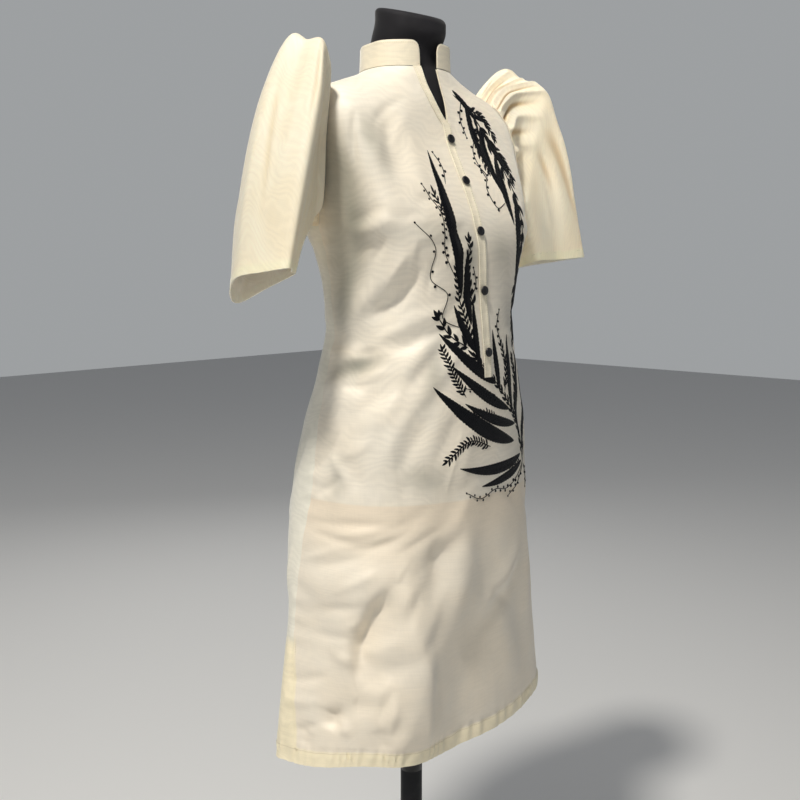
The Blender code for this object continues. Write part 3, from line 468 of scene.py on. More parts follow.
def clothOut(turn, z):
    # how far the cloth's creases and edges stand off the plain section at this place
    turn, z = matched(turn, z)
    hemAway, u = z - dressHeights["hem"], runOfTurn(turn, z)
    out = (creaseOut(turn, z, frontCreases) + creaseOut(turn, z, backCreases)) * creaseGain
    out = out + foldOut(u, z) + seamPull(turn, z)
    crimp = bell((hemAway - clothEdges["crimpHeight"]) / clothEdges["crimpReach"])
    crimp = np.sin(turn * 88 + 3 * np.sin(turn * 17)) * crimp
    dip = bell((hemAway - clothEdges["hemRow"]) / clothEdges["hemRowWidth"])
    out = out + clothEdges["crimp"] * crimp - clothEdges["hemDip"] * dip
    # near the neck and the armholes the cloth lies flat, and nearly flat beside the placket
    neckCalm = smoothStep((dressHeights["neck"] - z) / clothEdges["neckCalm"])
    placket = smoothStep((np.abs(u) - clothEdges["placketHalf"]) / clothEdges["placketReach"])
    placket = placket + smoothStep((clothEdges["placketFoot"] - z) / clothEdges["placketFade"])
    placket = np.clip(placket, clothEdges["placketLeft"], 1)
    return out * neckCalm * placket * smoothStep(armholeAway(turn, z, u) / clothEdges["armholeCalm"])


def clothPoint(turn, z, lift=0.0):
    point, normal = bodyPoint(turn, z), bodyNormal(turn, z)
    return point + normal * (clothOut(turn, z) + lift)[..., None]


# making meshes
def placed(name, data):
    piece = bpy.data.objects.new(name, data)
    bpy.context.scene.collection.objects.link(piece)
    return piece


def meshPiece(name, vertices, faces, sharp=None):
    # edges that turn by more than sharp degrees show as edges
    mesh = bpy.data.meshes.new(name)
    mesh.from_pydata(vertices.tolist(), [], faces)
    mesh.update()
    mesh.shade_smooth()
    if sharp:
        mesh.set_sharp_from_angle(angle=math.radians(sharp))
    return placed(name, mesh)


def shellMesh(name, points, normals, quads, thickness, marks):
    # a thin closed shell: two sheets half a thickness off the points, joined round every rim
    count = len(points)
    half = np.broadcast_to(np.asarray(thickness, float) / 2, (count,))[:, None]
    vertices = np.concatenate([points + normals * half, points - normals * half])
    edges = np.concatenate([quads[:, [k, (k + 1) % 4]] for k in range(4)])
    key = np.sort(edges, axis=1)
    _, first, tally = np.unique(key[:, 0] * count + key[:, 1], return_index=True, return_counts=True)
    rim = edges[first[tally == 1]]
    rims = np.stack([rim[:, 1], rim[:, 0], rim[:, 0] + count, rim[:, 1] + count], axis=1)
    faces = np.concatenate([quads, quads[:, ::-1] + count, rims])
    piece = meshPiece(name, vertices, faces.tolist(), 55)
    # marks are values at each point that the finish reads; inner is 1 on the inner sheet
    sheets = {key: (values, values) for key, values in marks.items()}
    sheets["inner"] = (np.zeros(count), np.ones(count))
    for key, pair in sheets.items():
        both = np.concatenate(pair).astype(np.float32)
        kind, field = ("FLOAT_VECTOR", "vector") if both.ndim == 2 else ("FLOAT", "value")
        piece.data.attributes.new(key, kind, "POINT").data.foreach_set(field, both.ravel())
    return piece


def flatRows(values):
    return values.reshape(-1, *values.shape[2:])


def gridShell(name, points, normals, thickness, marks, closed=False, flip=False):
    # a shell over a grid of points, rows first
    quads = gridQuads(*points.shape[:2], closed=closed, flip=flip)
    marks = {key: flatRows(values) for key, values in marks.items()}
    return shellMesh(name, flatRows(points), flatRows(normals), quads, np.ravel(thickness), marks)


def clothMarks(across, along, height, turnUp, seamAway, seamRun, **more):
    # the place in the weave, where the cloth is double, and the rows of stitches
    return {"spot": np.stack([across, along, 0 * along], axis=-1), "height": height, "turnUp": turnUp,
            "seamAway": seamAway, "seamRun": seamRun, **more}


def gridQuads(rows, columns, closed=False, flip=False):
    r, c = np.meshgrid(np.arange(rows - 1), np.arange(columns if closed else columns - 1), indexing="ij")
    after = (c + 1) % columns
    low, high = r * columns, (r + 1) * columns
    quads = np.stack([low + c, low + after, high + after, high + c], axis=-1).reshape(-1, 4)
    return quads[:, ::-1] if flip else quads


def ringNormals(points, side):
    # normals of closed rings of points, one ring a row
    around = np.roll(points, -1, axis=1) - np.roll(points, 1, axis=1)
    return -side * unit(np.cross(around, np.gradient(points, axis=0)))


def settle(piece, finish, *nodes, slot=None):
    piece.data.materials.append(finish)
    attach(piece, "root")
    if nodes:
        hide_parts(*nodes)
    return piece


# finishes
def summing(operation, swapped=False):
    def combined(self, other):
        values = {0: other, 1: self} if swapped else {0: self, 1: other}
        return self.network.add("ShaderNodeMath", {"operation": operation}, values)

    return combined


class Wire:
    # a socket that can be used in sums: each sum adds its own node
    def __init__(self, network, socket):
        self.network, self.socket = network, socket

    __add__, __radd__ = summing("ADD"), summing("ADD", swapped=True)
    __sub__, __rsub__ = summing("SUBTRACT"), summing("SUBTRACT", swapped=True)
    __mul__, __rmul__ = summing("MULTIPLY"), summing("MULTIPLY", swapped=True)
    __truediv__, __rtruediv__ = summing("DIVIDE"), summing("DIVIDE", swapped=True)


class Network:
    # the nodes of one material, or of the surround
    def __init__(self, tree):
        self.tree = tree

    def add(self, kind, settings, values, output=0):
        node = self.tree.nodes.new(kind)
        for key, value in settings.items():
            setattr(node, key, value)
        for key, value in values.items():
            if isinstance(value, Wire):
                self.tree.links.new(value.socket, node.inputs[key])
            else:
                node.inputs[key].default_value = value
        return Wire(self, node.outputs[output])

    def between(self, value, low, high):
        # 0 below low, 1 above high, smooth in between
        settings = {"interpolation_type": "SMOOTHSTEP"}
        return self.add("ShaderNodeMapRange", settings, {"Value": value, "From Min": low, "From Max": high})

    def blend(self, amount, first, second, how="MIX"):
        settings = {"data_type": "RGBA", "blend_type": how}
        return self.add("ShaderNodeMix", settings, {0: amount, 6: first, 7: second}, 2)


class Finish(Network):
    def __init__(self, name, plain):
        self.material = bpy.data.materials.new(name)
        self.material.use_nodes = True
        super().__init__(self.material.node_tree)
        self.shader = self.tree.nodes["Principled BSDF"]
        for key, value in plain.items():
            self.shader.inputs[key].default_value = value

    def feed(self, name, wire):
        self.tree.links.new(wire.socket, self.shader.inputs[name])

    def mark(self, name, vector=False):
        return self.add("ShaderNodeAttribute", {"attribute_name": name}, {}, 1 if vector else 2)

    def position(self):
        return self.add("ShaderNodeTexCoord", {}, {}, 3)

    def stretched(self, vector, *scale):
        return self.add("ShaderNodeVectorMath", {"operation": "MULTIPLY"}, {0: vector, 1: scale})

    def noise(self, vector, scale, detail=2.0, roughness=0.5):
        values = {"Vector": vector, "Scale": scale, "Detail": detail, "Roughness": roughness}
        return self.add("ShaderNodeTexNoise", {}, values)

    def wave(self, vector, direction, scale, distortion, detail, detailScale):
        values = {"Vector": vector, "Scale": scale, "Distortion": distortion, "Detail": detail,
                  "Detail Scale": detailScale}
        bands = self.add("ShaderNodeTexWave", {"bands_direction": direction, "wave_profile": "SIN"}, values)
        return self.add("ShaderNodeSeparateColor", {}, {"Color": bands})

    def bump(self, height, strength, distance):
        values = {"Height": height, "Strength": strength, "Distance": distance}
        self.feed("Normal", self.add("ShaderNodeBump", {}, values))


def colour(red, green, blue):
    # 0 to 255 as seen on a screen
    shares = [v / 255 for v in (red, green, blue)]
    return (*(((v + 0.055) / 1.055) ** 2.4 if v > 0.04 else v / 12.92 for v in shares), 1.0)


clothLook = {
    "light": (248, 237, 217), "warm": (243, 228, 205), "cool": (243, 235, 219), "turnUp": (252, 240, 208),
    # the greenish grey tint is painted shade, partly the dark form showing through the cloth
    "inside": (206, 190, 160), "shown": (158, 156, 143), "thread": (206, 190, 154),
    "sheen": 0.25, "rough": 0.38, "threadPitch": 0.00055, "slub": 0.075, "stitchLength": 0.0030,
    "water": 0.052, "toneLine": None, "letThrough": 0.0,
}


def clothFinish(name, **changes):
    # sheer stiff cloth: fine crossing threads, slubs along the weft, a faint water pattern, double turn-ups,
    # and painted shade where a mark asks for it
    look = {**clothLook, **changes}
    tint = {key: colour(*value) for key, value in look.items() if isinstance(value, tuple)}
    plain = {"Sheen Weight": look["sheen"], "Sheen Roughness": 0.35, "Specular IOR Level": 0.5}
    if look["letThrough"]:
        # light passes through the thin cloth
        plain.update({"Subsurface Weight": look["letThrough"], "Subsurface Radius": (1.0, 0.90, 0.76),
                      "Subsurface Scale": 0.003})
    finish = Finish(name, plain)
    spot, pitch = finish.mark("spot", True), 0.314 / look["threadPitch"]
    weft, warp = (finish.wave(spot, way, pitch, 0.6, 1.0, 0.4) * 0.5 for way in ("Y", "X"))
    weave = weft + warp
    slub = finish.noise(finish.stretched(spot, 22, 900, 1), 1.0, 3.0, 0.62)
    fineSlub = finish.noise(finish.stretched(spot, 700, 30, 1), 1.0, 2.0, 0.5)
    cloud = finish.noise(spot, 9.0, 3.0, 0.55)
    water = finish.wave(spot, "Y", 30.0, 24.0, 2.0, 0.55)
    tone = finish.blend(finish.between(cloud, 0.36, 0.66), tint["light"], tint["cool"])
    line = look["toneLine"]
    if line:
        # the lining's hem shows through: warmer below it, paler above
        height = finish.mark("height")
        above = finish.between(height + (cloud - 0.5) * 0.004, line - 0.002, line + 0.002)
        warmth = (1 - above) * (0.25 + 0.75 * finish.between(height, line - 0.085, line - 0.006))
        tone = finish.blend(warmth, tone, tint["warm"])
        tone = finish.blend(above * 0.25, tone, tint["cool"])
        water = water * (above * 0.7 + 0.3)
    stitches = stitchLine(finish, look)
    # the first layer is painted shade, darkening the cloth where its mark is set
    layers = ((finish.mark("shown"), "shown"), (finish.mark("turnUp"), "turnUp"), (stitches, "thread"),
              (finish.mark("inner") * 0.75, "inside"))
    for amount, key in layers:
        tone = finish.blend(amount, tone, tint[key])
    shade = 1 - (slub - 0.5) * look["slub"] * 2.4 - (fineSlub - 0.5) * look["slub"]
    shade = shade - (water - 0.5) * look["water"]
    grey = finish.add("ShaderNodeCombineColor", {}, {0: shade, 1: shade, 2: shade})
    finish.feed("Base Color", finish.blend(1.0, tone, grey, "MULTIPLY"))
    finish.feed("Roughness", look["rough"] + (slub - 0.5) * 0.16 + weave * 0.06)
    finish.bump(weave * 0.35 + slub * 0.5 + fineSlub * 0.3 + stitches * 1.6, 0.5, 0.0004)
    return finish.material


def stitchLine(finish, look):
    # a row of small stitches beside an edge; seamAway is 0 on the row and seamRun counts along it
    away, run = finish.mark("seamAway"), finish.mark("seamRun")
    beat = finish.add("ShaderNodeMath", {"operation": "FRACT"}, {0: run / look["stitchLength"]})
    dash = finish.between(beat, 0.10, 0.22) * (1 - finish.between(beat, 0.70, 0.84))
    return dash * (1 - finish.between(away, 0.0003, 0.0006))


print("stage: helpers ready")

# front: two halves, one piece below the placket and apart above it
frontPanel = {"columns": {-1: 110, 1: 68}, "hemBand": 0.019, "facing": 0.0028, "stitchIn": 0.0175,
              "slitRow": 0.0008, "foldEdge": 0.0012, "liningTone": 0.838, "riseReach": 0.075,
              "hemRises": ((-0.225, 0.075, 0.0105), (0.10, 0.08, -0.0015), (0.40, 0.10, 0.004))}
panelLevels = levels(
    (dressHeights["hem"], 0), (dressHeights["slitTop"], 46), (dressHeights["placketEnd"], 96),
    (dressHeights["underarm"], 56), (1.206, 5), (dressHeights["notch"], 30),
    (dressHeights["shoulderTip"], 11), (dressHeights["neck"], 10),
)


def notchEdge(z, side):
    width = notchAt["right" if side < 0 else "left"](z)
    return np.where(z > dressHeights["notch"], width, wall["gap"])


def panelMarks(turn, z, slitAway, run, facing):
    # marks that the finish reads: place in the weave, turn-ups, the rows of stitches beside them, and the
    # painted shade spots
    hemAway = z - dressHeights["hem"]
    hemUp = 1 - smoothStep((hemAway - frontPanel["hemBand"]) / frontPanel["foldEdge"])
    openSlit = z < dressHeights["slitTop"] + 0.004
    fade = smoothStep((dressHeights["slitTop"] - z) / 0.02)
    slitUp = np.where(openSlit, 1 - smoothStep((slitAway - facing) / frontPanel["foldEdge"]), 0) * fade
    hemRow = np.abs(hemAway - frontPanel["stitchIn"])
    slitRow = np.where(openSlit, np.abs(slitAway - facing - frontPanel["slitRow"]), 1.0)
    return clothMarks(run, z, z, np.maximum(hemUp, slitUp), np.minimum(hemRow, slitRow),
                      # the last mark is painted shade, partly the dark form showing through
                      np.where(hemRow < slitRow, run, z), shown=paintedShadeAndShowThrough(turn, z))


def panelGrid(turns, tuck=0.0):
    # the panel's points at these turns, their normals and how far round the dress they lie
    z = np.repeat(panelLevels[:, None], turns.shape[1], axis=1)
    normal, run = bodyNormal(turns, z), runOfTurn(turns, z)
    lift = clothOut(turns, z) + shellLift - tuck
    points = bodyPoint(turns, z) + normal * lift[..., None]
    # the hem isn't quite level: it rises a little over the wearer's right thigh
    rise = sum(height * bell((run - where) / width) for where, width, height in frontPanel["hemRises"])
    points[..., 2] += rise * (1 - smoothStep((z - dressHeights["hem"]) / frontPanel["riseReach"]))
    return points, normal, run, z


def panelThickness(marks):
    return wall["shell"] * (1 + 0.9 * marks["turnUp"])


def buildFront():
    z, start = panelLevels, 0
    joined = z < dressHeights["placketEnd"] + 1e-6
    points, normals, index, gathered = [], [], {}, []
    for side, columns in frontPanel["columns"].items():
        outer = turnAtDepth(z, edgeDepth(z, side, True) + slitCut(z), side)
        edge = np.where(joined, 0.0, notchEdge(z, side))
        turns = evenTurns(z, outer, turnAtWidth(z, side * edge), columns)
        place, normal, run, heights = panelGrid(turns)
        points.append(flatRows(place))
        normals.append(flatRows(normal))
        gathered.append(panelMarks(turns, heights, np.abs(run - run[:, :1]), run, frontPanel["facing"]))
        index[side] = start + np.arange(turns.size).reshape(turns.shape)
        start += turns.size
    # below the placket both halves share their middle points
    index[1][joined, -1] = index[-1][joined, -1]
    quads = []
    for side, grid in index.items():
        each = np.stack([grid[:-1, :-1], grid[:-1, 1:], grid[1:, 1:], grid[1:, :-1]], axis=-1).reshape(-1, 4)
        quads.append(each if side < 0 else each[:, ::-1])
    used, quads = np.unique(np.concatenate(quads), return_inverse=True)
    marks = {key: np.concatenate([flatRows(part[key]) for part in gathered])[used] for key in gathered[0]}
    points, normals = np.concatenate(points)[used], np.concatenate(normals)[used]
    return shellMesh("dress_front", points, normals, quads.reshape(-1, 4), panelThickness(marks), marks)


backPanel = {"columns": 150, "underlap": 0.007, "tuck": 0.0024, "facing": 0.052}


def buildBack():
    z, lap = panelLevels, backPanel["underlap"]
    # along the slits the back runs on forward, under the front's edges
    forward = slitCut(z) + lap * smoothStep(slitCut(z) / 0.004)
    ends = []
    for side in (1, -1):
        lapped = turnAtDepth(z, edgeDepth(z, side, True) + forward, side)
        seam = turnAtDepth(z, edgeDepth(z, side, False), side, front=False)
        ends.append(np.where(z < dressHeights["slitTop"], lapped, seam))
    turns = evenTurns(z, ends[0], ends[1] + 2 * math.pi, backPanel["columns"])
    edge = endAway(travel(bodyPoint(turns, z[:, None]), 1))
    tuck = smoothStep(slitCut(z) / 0.006)[:, None] * (1 - smoothStep((edge - lap) / 0.010))
    points, normal, _, heights = panelGrid(turns, backPanel["tuck"] * tuck)
    run = travel(points, 1)
    marks = panelMarks(turns, heights, endAway(run), run, backPanel["facing"])
    return gridShell("dress_back", points, normal, panelThickness(marks), marks)


panelFinish = clothFinish("sheerIvoryPanel", toneLine=frontPanel["liningTone"])
# the back is a cooler copy of the cloth, painted to look shaded
backFinish = clothFinish("sheerIvoryBack", light=(245, 240, 224), cool=(238, 234, 219))
# the sleeves' brighter tints and pale inside are painted light, for the light coming through the sheer
# sleeves; their trough tint is painted shade
sleeveFinish = clothFinish("sheerIvorySleeve", light=(255, 240, 211), cool=(252, 233, 202),
                           shown=(212, 184, 142), inside=(255, 246, 232), letThrough=0.45)
# the band's bright turn-up tint also serves as the painted highlight along the placket's edges
bandFinish = clothFinish("foldedBand", light=(245, 234, 209), cool=(238, 228, 204), turnUp=(255, 249, 228),
                         thread=(222, 208, 176))
dressFront = settle(buildFront(), panelFinish, "front", slot="panels")
dressBack = settle(buildBack(), backFinish, "back", slot="panels")
print("stage: panels built")

# sleeves
sleeveShape = {
    "rings": 84, "columns": 384,
    "shares": (0.0, 0.12, 0.27, 0.42, 0.50, 0.59, 0.75, 0.89),
    "seamGap": 0.0006, "seamLap": 0.0020, "cuffBand": 0.012, "cuffRow": 0.0108, "rootRow": 0.0040,
    "gatherGain": 1.45, "gatherWidth": 0.85,
}
# corner lines by sleeve: how far along in hundredths, then in mm the fore, hind, near back and near front
# corner, and how far the outer side and the back bulge
sleeveRight = (
    (16, -174, -20, 1391, -177, 28, 1396, -172, 76, 1222, -170, 3, 1216, 4, 20),
    (32, -186, -24, 1408, -198, 30, 1420, -184, 90, 1206, -178, 8, 1206, 5, 22),
    (52, -209, -38, 1345, -234, 40, 1350, -198, 101, 1176, -184, 12, 1188, 6, 20),
    (76, -238, -43, 1252, -263, 38, 1246, -210, 108, 1136, -193, 18, 1162, 6, 16),
    (100, -270, -47, 1140, -281, 38, 1128, -220, 112, 1093, -200, 24, 1131, 5, 12),
)
sleeveLeft = (
    (16, 186, -34, 1388, 178, 22, 1398, 172, 72, 1222, 164, -60, 1220, 4, 18),
    (32, 232, -53, 1396, 206, 10, 1428, 186, 84, 1206, 172, -62, 1210, 6, 20),
    (52, 256, -66, 1346, 250, 28, 1356, 202, 94, 1176, 182, -62, 1196, 8, 18),
    (76, 276, -81, 1250, 276, 34, 1246, 216, 100, 1136, 192, -61, 1172, 8, 14),
    (100, 298, -88, 1154, 296, 36, 1136, 226, 104, 1096, 204, -60, 1147, 6, 10),
)
# gathers at the cap: place round the sleeve, width, depth, and how far down they run
gatherUnits = (1e3, 1e4, 1e4, 100)
capGathersRight = (
    (415, 80, 16, 16), (444, 70, -16, 14), (472, 85, 20, 20), (500, 70, -20, 18), (528, 90, 26, 24),
    (556, 70, -24, 20), (584, 85, 28, 26), (612, 65, -26, 22), (640, 80, 28, 26), (668, 65, -22, 20),
)
capGathersLeft = (
    (215, 80, 40, 30), (240, 65, -36, 26), (266, 90, 50, 40), (294, 70, -44, 34), (322, 95, 54, 46),
    (351, 70, -46, 36), (380, 95, 56, 50), (410, 75, -48, 40), (440, 95, 56, 46), (470, 75, -46, 36),
    (500, 95, 52, 48), (530, 70, -44, 34), (558, 90, 48, 40), (586, 70, -40, 30), (614, 85, 44, 34),
    (642, 65, -34, 26), (668, 75, 38, 28),
)
# longer soft creases: place round, place along, length along, width round, depth, drift
sleeveCreaseUnits = (1e3, 100, 100, 1e3, 1e4, 100)
sleeveCreasesRight = (
    (470, 62, 62, 20, 16, 5), (545, 66, 55, 16, -16, -6), (405, 50, 40, 12, -14, 4),
    (600, 74, 46, 20, 18, 8), (700, 60, 52, 22, -26, 10), (760, 68, 48, 18, 22, -6),
    (290, 55, 44, 14, -20, -5), (230, 66, 50, 18, 20, 5), (60, 58, 55, 24, -28, -8),
    (930, 62, 50, 20, 24, 7), (130, 42, 35, 16, 18, 4),
)
sleeveCreasesLeft = (
    (330, 62, 60, 18, -30, 10), (365, 58, 52, 14, 26, 8), (300, 70, 55, 20, 24, 5),
    (455, 66, 58, 22, -20, -6), (270, 52, 42, 12, -26, 6), (235, 60, 50, 16, 22, 3),
    (540, 70, 50, 20, 18, 7), (640, 62, 55, 22, -24, 8), (720, 66, 48, 18, 22, -5),
    (85, 60, 52, 24, -28, 8), (930, 58, 48, 20, 24, -7),
)


def armholeLoop(side):
    # reads points and normals round the armhole, from the underarm up the front and down the back
    low, high = dressHeights["underarm"], dressHeights["shoulderTip"]
    share = np.linspace(0, 1, 121)[:-1]
    rows = []
    for front, up in ((True, share), (False, 1 - share)):
        z = low + (high - low) * (1 - np.cos(math.pi * up)) / 2
        turn = turnAtDepth(z, armholeDepth(z, side, front), side, front)
        rows.append(np.concatenate([bodyPoint(turn, z), bodyNormal(turn, z)], axis=-1))
    rows = np.concatenate([*rows, rows[0][:1]])
    travelled = travel(rows[:, :3])

    def at(shares):
        target = np.mod(shares, 1.0) * travelled[-1]
        found = np.stack([np.interp(target, travelled, column) for column in rows.T], axis=-1)
        return found[:, :3], unit(found[:, 3:])

    return at


def closedCurve(knots, share):
    # a smooth closed curve through evenly spaced knots; knots are (rings, knots, 3)
    count = knots.shape[1]
    place = np.mod(share, 1.0) * count
    i = place.astype(int) % count
    t = (place - place.astype(int))[None, :, None]
    before, here, there, after = (knots[:, (i + k) % count] for k in (-1, 0, 1, 2))
    return 0.5 * (2 * here + (there - before) * t + (2 * before - 5 * here + 4 * there - after) * t ** 2
                  + (3 * here - before - 3 * there + after) * t ** 3)


def fading(along, reach):
    # 1 at the armhole, 0 beyond reach
    return smoothStep(1 - along / reach)[:, None, None]


def aroundAway(share, where):
    return np.mod(share - where + 0.5, 1.0) - 0.5


def buildSleeve(name, side, table, gathers, creases):
    loop, look = armholeLoop(side), sleeveShape
    stations, stops = [loop(np.array(look["shares"]))[0]], [0.0]
    for along, *corners, outerBulge, backBulge in table:
        fore, hind, nearBack, nearFront = places(corners, 3)
        middle = (fore + hind + nearBack + nearFront) / 4
        outer, behind = (fore + hind) / 2, (hind + nearBack) / 2
        outer = outer + unit(outer - middle) * outerBulge / 1e3
        behind = behind + unit(behind - middle) * backBulge / 1e3
        stops.append(along / 100)
        stations.append(np.array([(nearBack + nearFront) / 2, nearFront, (nearFront + fore) / 2, fore,
                                  outer, hind, behind, nearBack]))
    lines = smoothTable(stops, np.array(stations).reshape(len(stops), -1))
    along = np.linspace(0, 1, look["rings"] + 1) ** 1.25
    share = np.arange(look["columns"]) / look["columns"]
    points = closedCurve(lines(along).reshape(len(along), 8, 3), share)
    # the first ring lies on the armhole
    seamPoint, seamNormal = loop(np.interp(share * 8, np.arange(9), [*look["shares"], 1.0]))
    drift = seamPoint - closedCurve(stations[0][None], share)[0]
    points = points + drift[None] * fading(along, 0.12)
    normals = ringNormals(points, side)
    a, s = along[:, None], share[None, :]
    out = np.zeros(points.shape[:2])
    for where, width, depth, reach in np.array(gathers) / gatherUnits:
        fade = smoothStep(a / 0.035) * smoothStep(1 - a / reach)
        spread = look["gatherWidth"] * width * (1 + 0.9 * a)
        out += look["gatherGain"] * depth * fade * bell(aroundAway(s, where) / spread)
    for where, middle, length, width, depth, lean in np.array(creases) / sleeveCreaseUnits:
        fade = softEnds(2 * (a - middle) / length)
        out += depth * fade * bell(aroundAway(s, where + lean * (a - middle)) / width)
    slope = np.abs((seamNormal * normals[0]).sum(-1))
    seamLift = seamNormal * (wall["cloth"] / 2 * (1 + slope) + look["seamGap"])[:, None]
    points = points + normals * (out + shellLift * smoothStep(a / 0.05))[..., None]
    points = points + seamLift[None] * fading(along, 0.02)
    # the sleeve's root laps a little over the panels, so that no slit shows there
    outward = unit(np.cross(np.roll(seamPoint, -1, axis=0) - np.roll(seamPoint, 1, axis=0), seamNormal))
    outward = outward * np.sign((outward * (seamPoint - seamPoint.mean(axis=0))).sum())
    points = points + outward[None] * look["seamLap"] * fading(along, 0.018)
    length = travel(points)
    cuffAway = length[-1:] - length
    run = np.cumsum(np.linalg.norm(np.roll(points, -1, axis=1) - points, axis=2), axis=1)
    turnUp = 1 - smoothStep((cuffAway - look["cuffBand"]) / 0.0010)
    rows = np.minimum(np.abs(cuffAway - look["cuffRow"]), np.abs(length - look["rootRow"]))
    # the gathers' troughs are painted darker by their depth: painted shade
    shown, thickness = smoothStep(-out / 0.0036), wall["shell"] * (1 + 0.8 * turnUp)
    marks = clothMarks(run, -length + 0.31, points[..., 2], turnUp, rows, run, shown=shown)
    sizes = (length[-1].mean(), run[-1, -1], run[4, -1])
    print(name, "length, cuff, cap", *(round(float(size), 3) for size in sizes))
    return gridShell(name, points, normals, thickness, marks, closed=True, flip=side < 0)


rightSleeve = settle(buildSleeve("sleeve_right_cloth", -1, sleeveRight, capGathersRight, sleeveCreasesRight),
                     sleeveFinish, "sleeve_right", slot="sleeves")
leftSleeve = settle(buildSleeve("sleeve_left_cloth", 1, sleeveLeft, capGathersLeft, sleeveCreasesLeft),
                    sleeveFinish, "sleeve_left", slot="sleeves")
print("stage: sleeves built")

# collar: a stand collar with rounded ends that don't meet
collarShape = {"height": 0.033, "corner": 0.012, "foot": 0.0012, "lean": 0.0015, "columns": 168, "rows": 18,
               "thick": 0.0018, "rim": 0.0016, "topRow": 0.0034, "footRow": 0.0030}


def buildCollar():
    neck, corner = np.array([dressHeights["neck"]]), collarShape["corner"]
    start = turnAtWidth(neck, notchEdge(neck, 1))
    end = 2 * math.pi - turnAtWidth(neck, notchEdge(neck, -1))
    base = bodyPoint(evenTurns(neck, start, end, collarShape["columns"])[0], neck[0])
    run = travel(base)
    centre = np.array([0, base[:, 1].mean(), 0])
    out = unit((base - centre) * (1, 1, 0))
    top = collarShape["height"] - (corner - np.sqrt(corner ** 2 - np.maximum(corner - endAway(run), 0) ** 2))
    share = np.linspace(0, 1, collarShape["rows"] + 1)[:, None]
    rise = collarShape["foot"] + top[None] * share
    # the collar leans in a little and waves softly along its top edge
    wave = 0.0009 * np.sin(run * 61 + 0.7) * share ** 1.5 + 0.0006 * np.sin(run * 143 + 2.0) * share
    points = base[None] + out[None] * (wave - collarShape["lean"] * share)[..., None]
    points[..., 2] = neck[0] + rise
    up, run = rise - collarShape["foot"], np.broadcast_to(run, rise.shape)
    edgeAway = np.minimum(top[None] - up, endAway(run))
    rim = 1 - np.clip(edgeAway / collarShape["rim"], 0, 1) ** 0.5
    rows = np.minimum(np.abs(edgeAway - collarShape["topRow"]), np.abs(up - collarShape["footRow"]))
    marks = clothMarks(run, rise, points[..., 2], 0.08 + 0 * rise, rows, run)
    return gridShell("collar_cloth", points, np.repeat(out[None], len(share), axis=0),
                     collarShape["thick"] * (1 - 0.65 * rim), marks)


collarCloth = settle(buildCollar(), bandFinish, "collar", slot="panels")

# placket: two folded bands, the right one lapping over the left
bandShape = {"width": 0.010, "overlap": 0.003, "gap": 0.00045, "thick": 0.0012, "columns": 14,
             "stitchIn": 0.0014, "proud": 0.0010, "puff": 0.00035, "endRow": 0.0022,
             "lapHighlight": 0.0030, "foldHighlight": 0.0016}


def buildBand(name, side):
    z = levels((dressHeights["placketEnd"], 0), (dressHeights["notch"], 190), (1.339, 16),
               (dressHeights["neck"], 46))
    edge = notchEdge(z, side)
    lap = bandShape["overlap"] * (1 - smoothStep((z - dressHeights["notch"]) / 0.008))
    inner = np.where(z > dressHeights["notch"], edge, 0) - lap
    share = np.linspace(0, 1, bandShape["columns"] + 1)
    width = inner[:, None] + (edge + bandShape["width"] - inner)[:, None] * share[None]
    heights = np.repeat(z[:, None], len(share), axis=1)
    turns = turnAtWidth(heights, side * width)
    normals = bodyNormal(turns, heights)
    rim = np.broadcast_to(np.minimum(share, 1 - share) * bandShape["width"], heights.shape)
    puff = bandShape["puff"] * np.sin(z * 173 + 1.2 * np.sin(z * 41))[:, None] * np.sin(math.pi * share)[None]
    lift = -side * (wall["cloth"] / 2 + bandShape["gap"] + bandShape["thick"] / 2) + puff
    if side < 0:
        # the lapping edge stands a little proud
        lift = lift + bandShape["proud"] * (1 - smoothStep(share / 0.55))[None]
    points = bodyPoint(turns, heights) + normals * (clothOut(turns, heights) + lift)[..., None]
    fold = 1 - np.clip(rim / 0.0012, 0, 1) ** 0.5
    # the band's edges are painted brighter through the turn-up mark: partly the doubled cloth at the fold,
    # partly a painted highlight
    highlightWidth = np.where(share < 0.5, bandShape["lapHighlight"], bandShape["foldHighlight"])
    across = np.abs(heights - dressHeights["placketEnd"] - bandShape["endRow"])
    rows = np.minimum(np.abs(rim - bandShape["stitchIn"]), across)
    marks = clothMarks(width, heights, heights, 0.10 + 0.9 * (1 - smoothStep(rim / highlightWidth)), rows,
                       np.where(across < 0.0008, width, heights))
    return gridShell(name, points, normals, bandShape["thick"] * (1 - 0.55 * fold), marks, flip=side < 0)


bandRight = settle(buildBand("placket_right_cloth", -1), bandFinish, "placket_right", slot="bands")
bandLeft = settle(buildBand("placket_left_cloth", 1), bandFinish, "placket_left", slot="bands")

# lining: a hip lining whose hem shows through the skirt
liningShape = {"inset": 0.0030, "rows": 36, "columns": 300, "hemBand": 0.012, "hemRow": 0.011}


def ringTurns(z, columns):
    # turns all the way round, and the height of each
    ends = np.full(len(z), math.pi)
    return evenTurns(z, -ends, ends, columns)[:, :-1], np.repeat(z[:, None], columns, axis=1)


def buildLining():
    z = np.linspace(dressHeights["liningHem"], dressHeights["liningTop"], liningShape["rows"] + 1)
    turns, heights = ringTurns(z, liningShape["columns"])
    normals, run, up = bodyNormal(turns, heights), runOfTurn(turns, heights), heights - z[0]
    points = clothPoint(turns, heights, -liningShape["inset"])
    marks = clothMarks(run, heights, heights, 1 - smoothStep((up - liningShape["hemBand"]) / 0.001),
                       np.abs(up - liningShape["hemRow"]), run)
    return gridShell("lining_cloth", points, normals, wall["shell"], marks, closed=True)


liningFinish = clothFinish("plainLining", light=(226, 219, 200), cool=(216, 210, 194), sheen=0.1, rough=0.65)
liningCloth = settle(buildLining(), liningFinish, "lining", slot="lining")
print("stage: collar, bands and lining built")

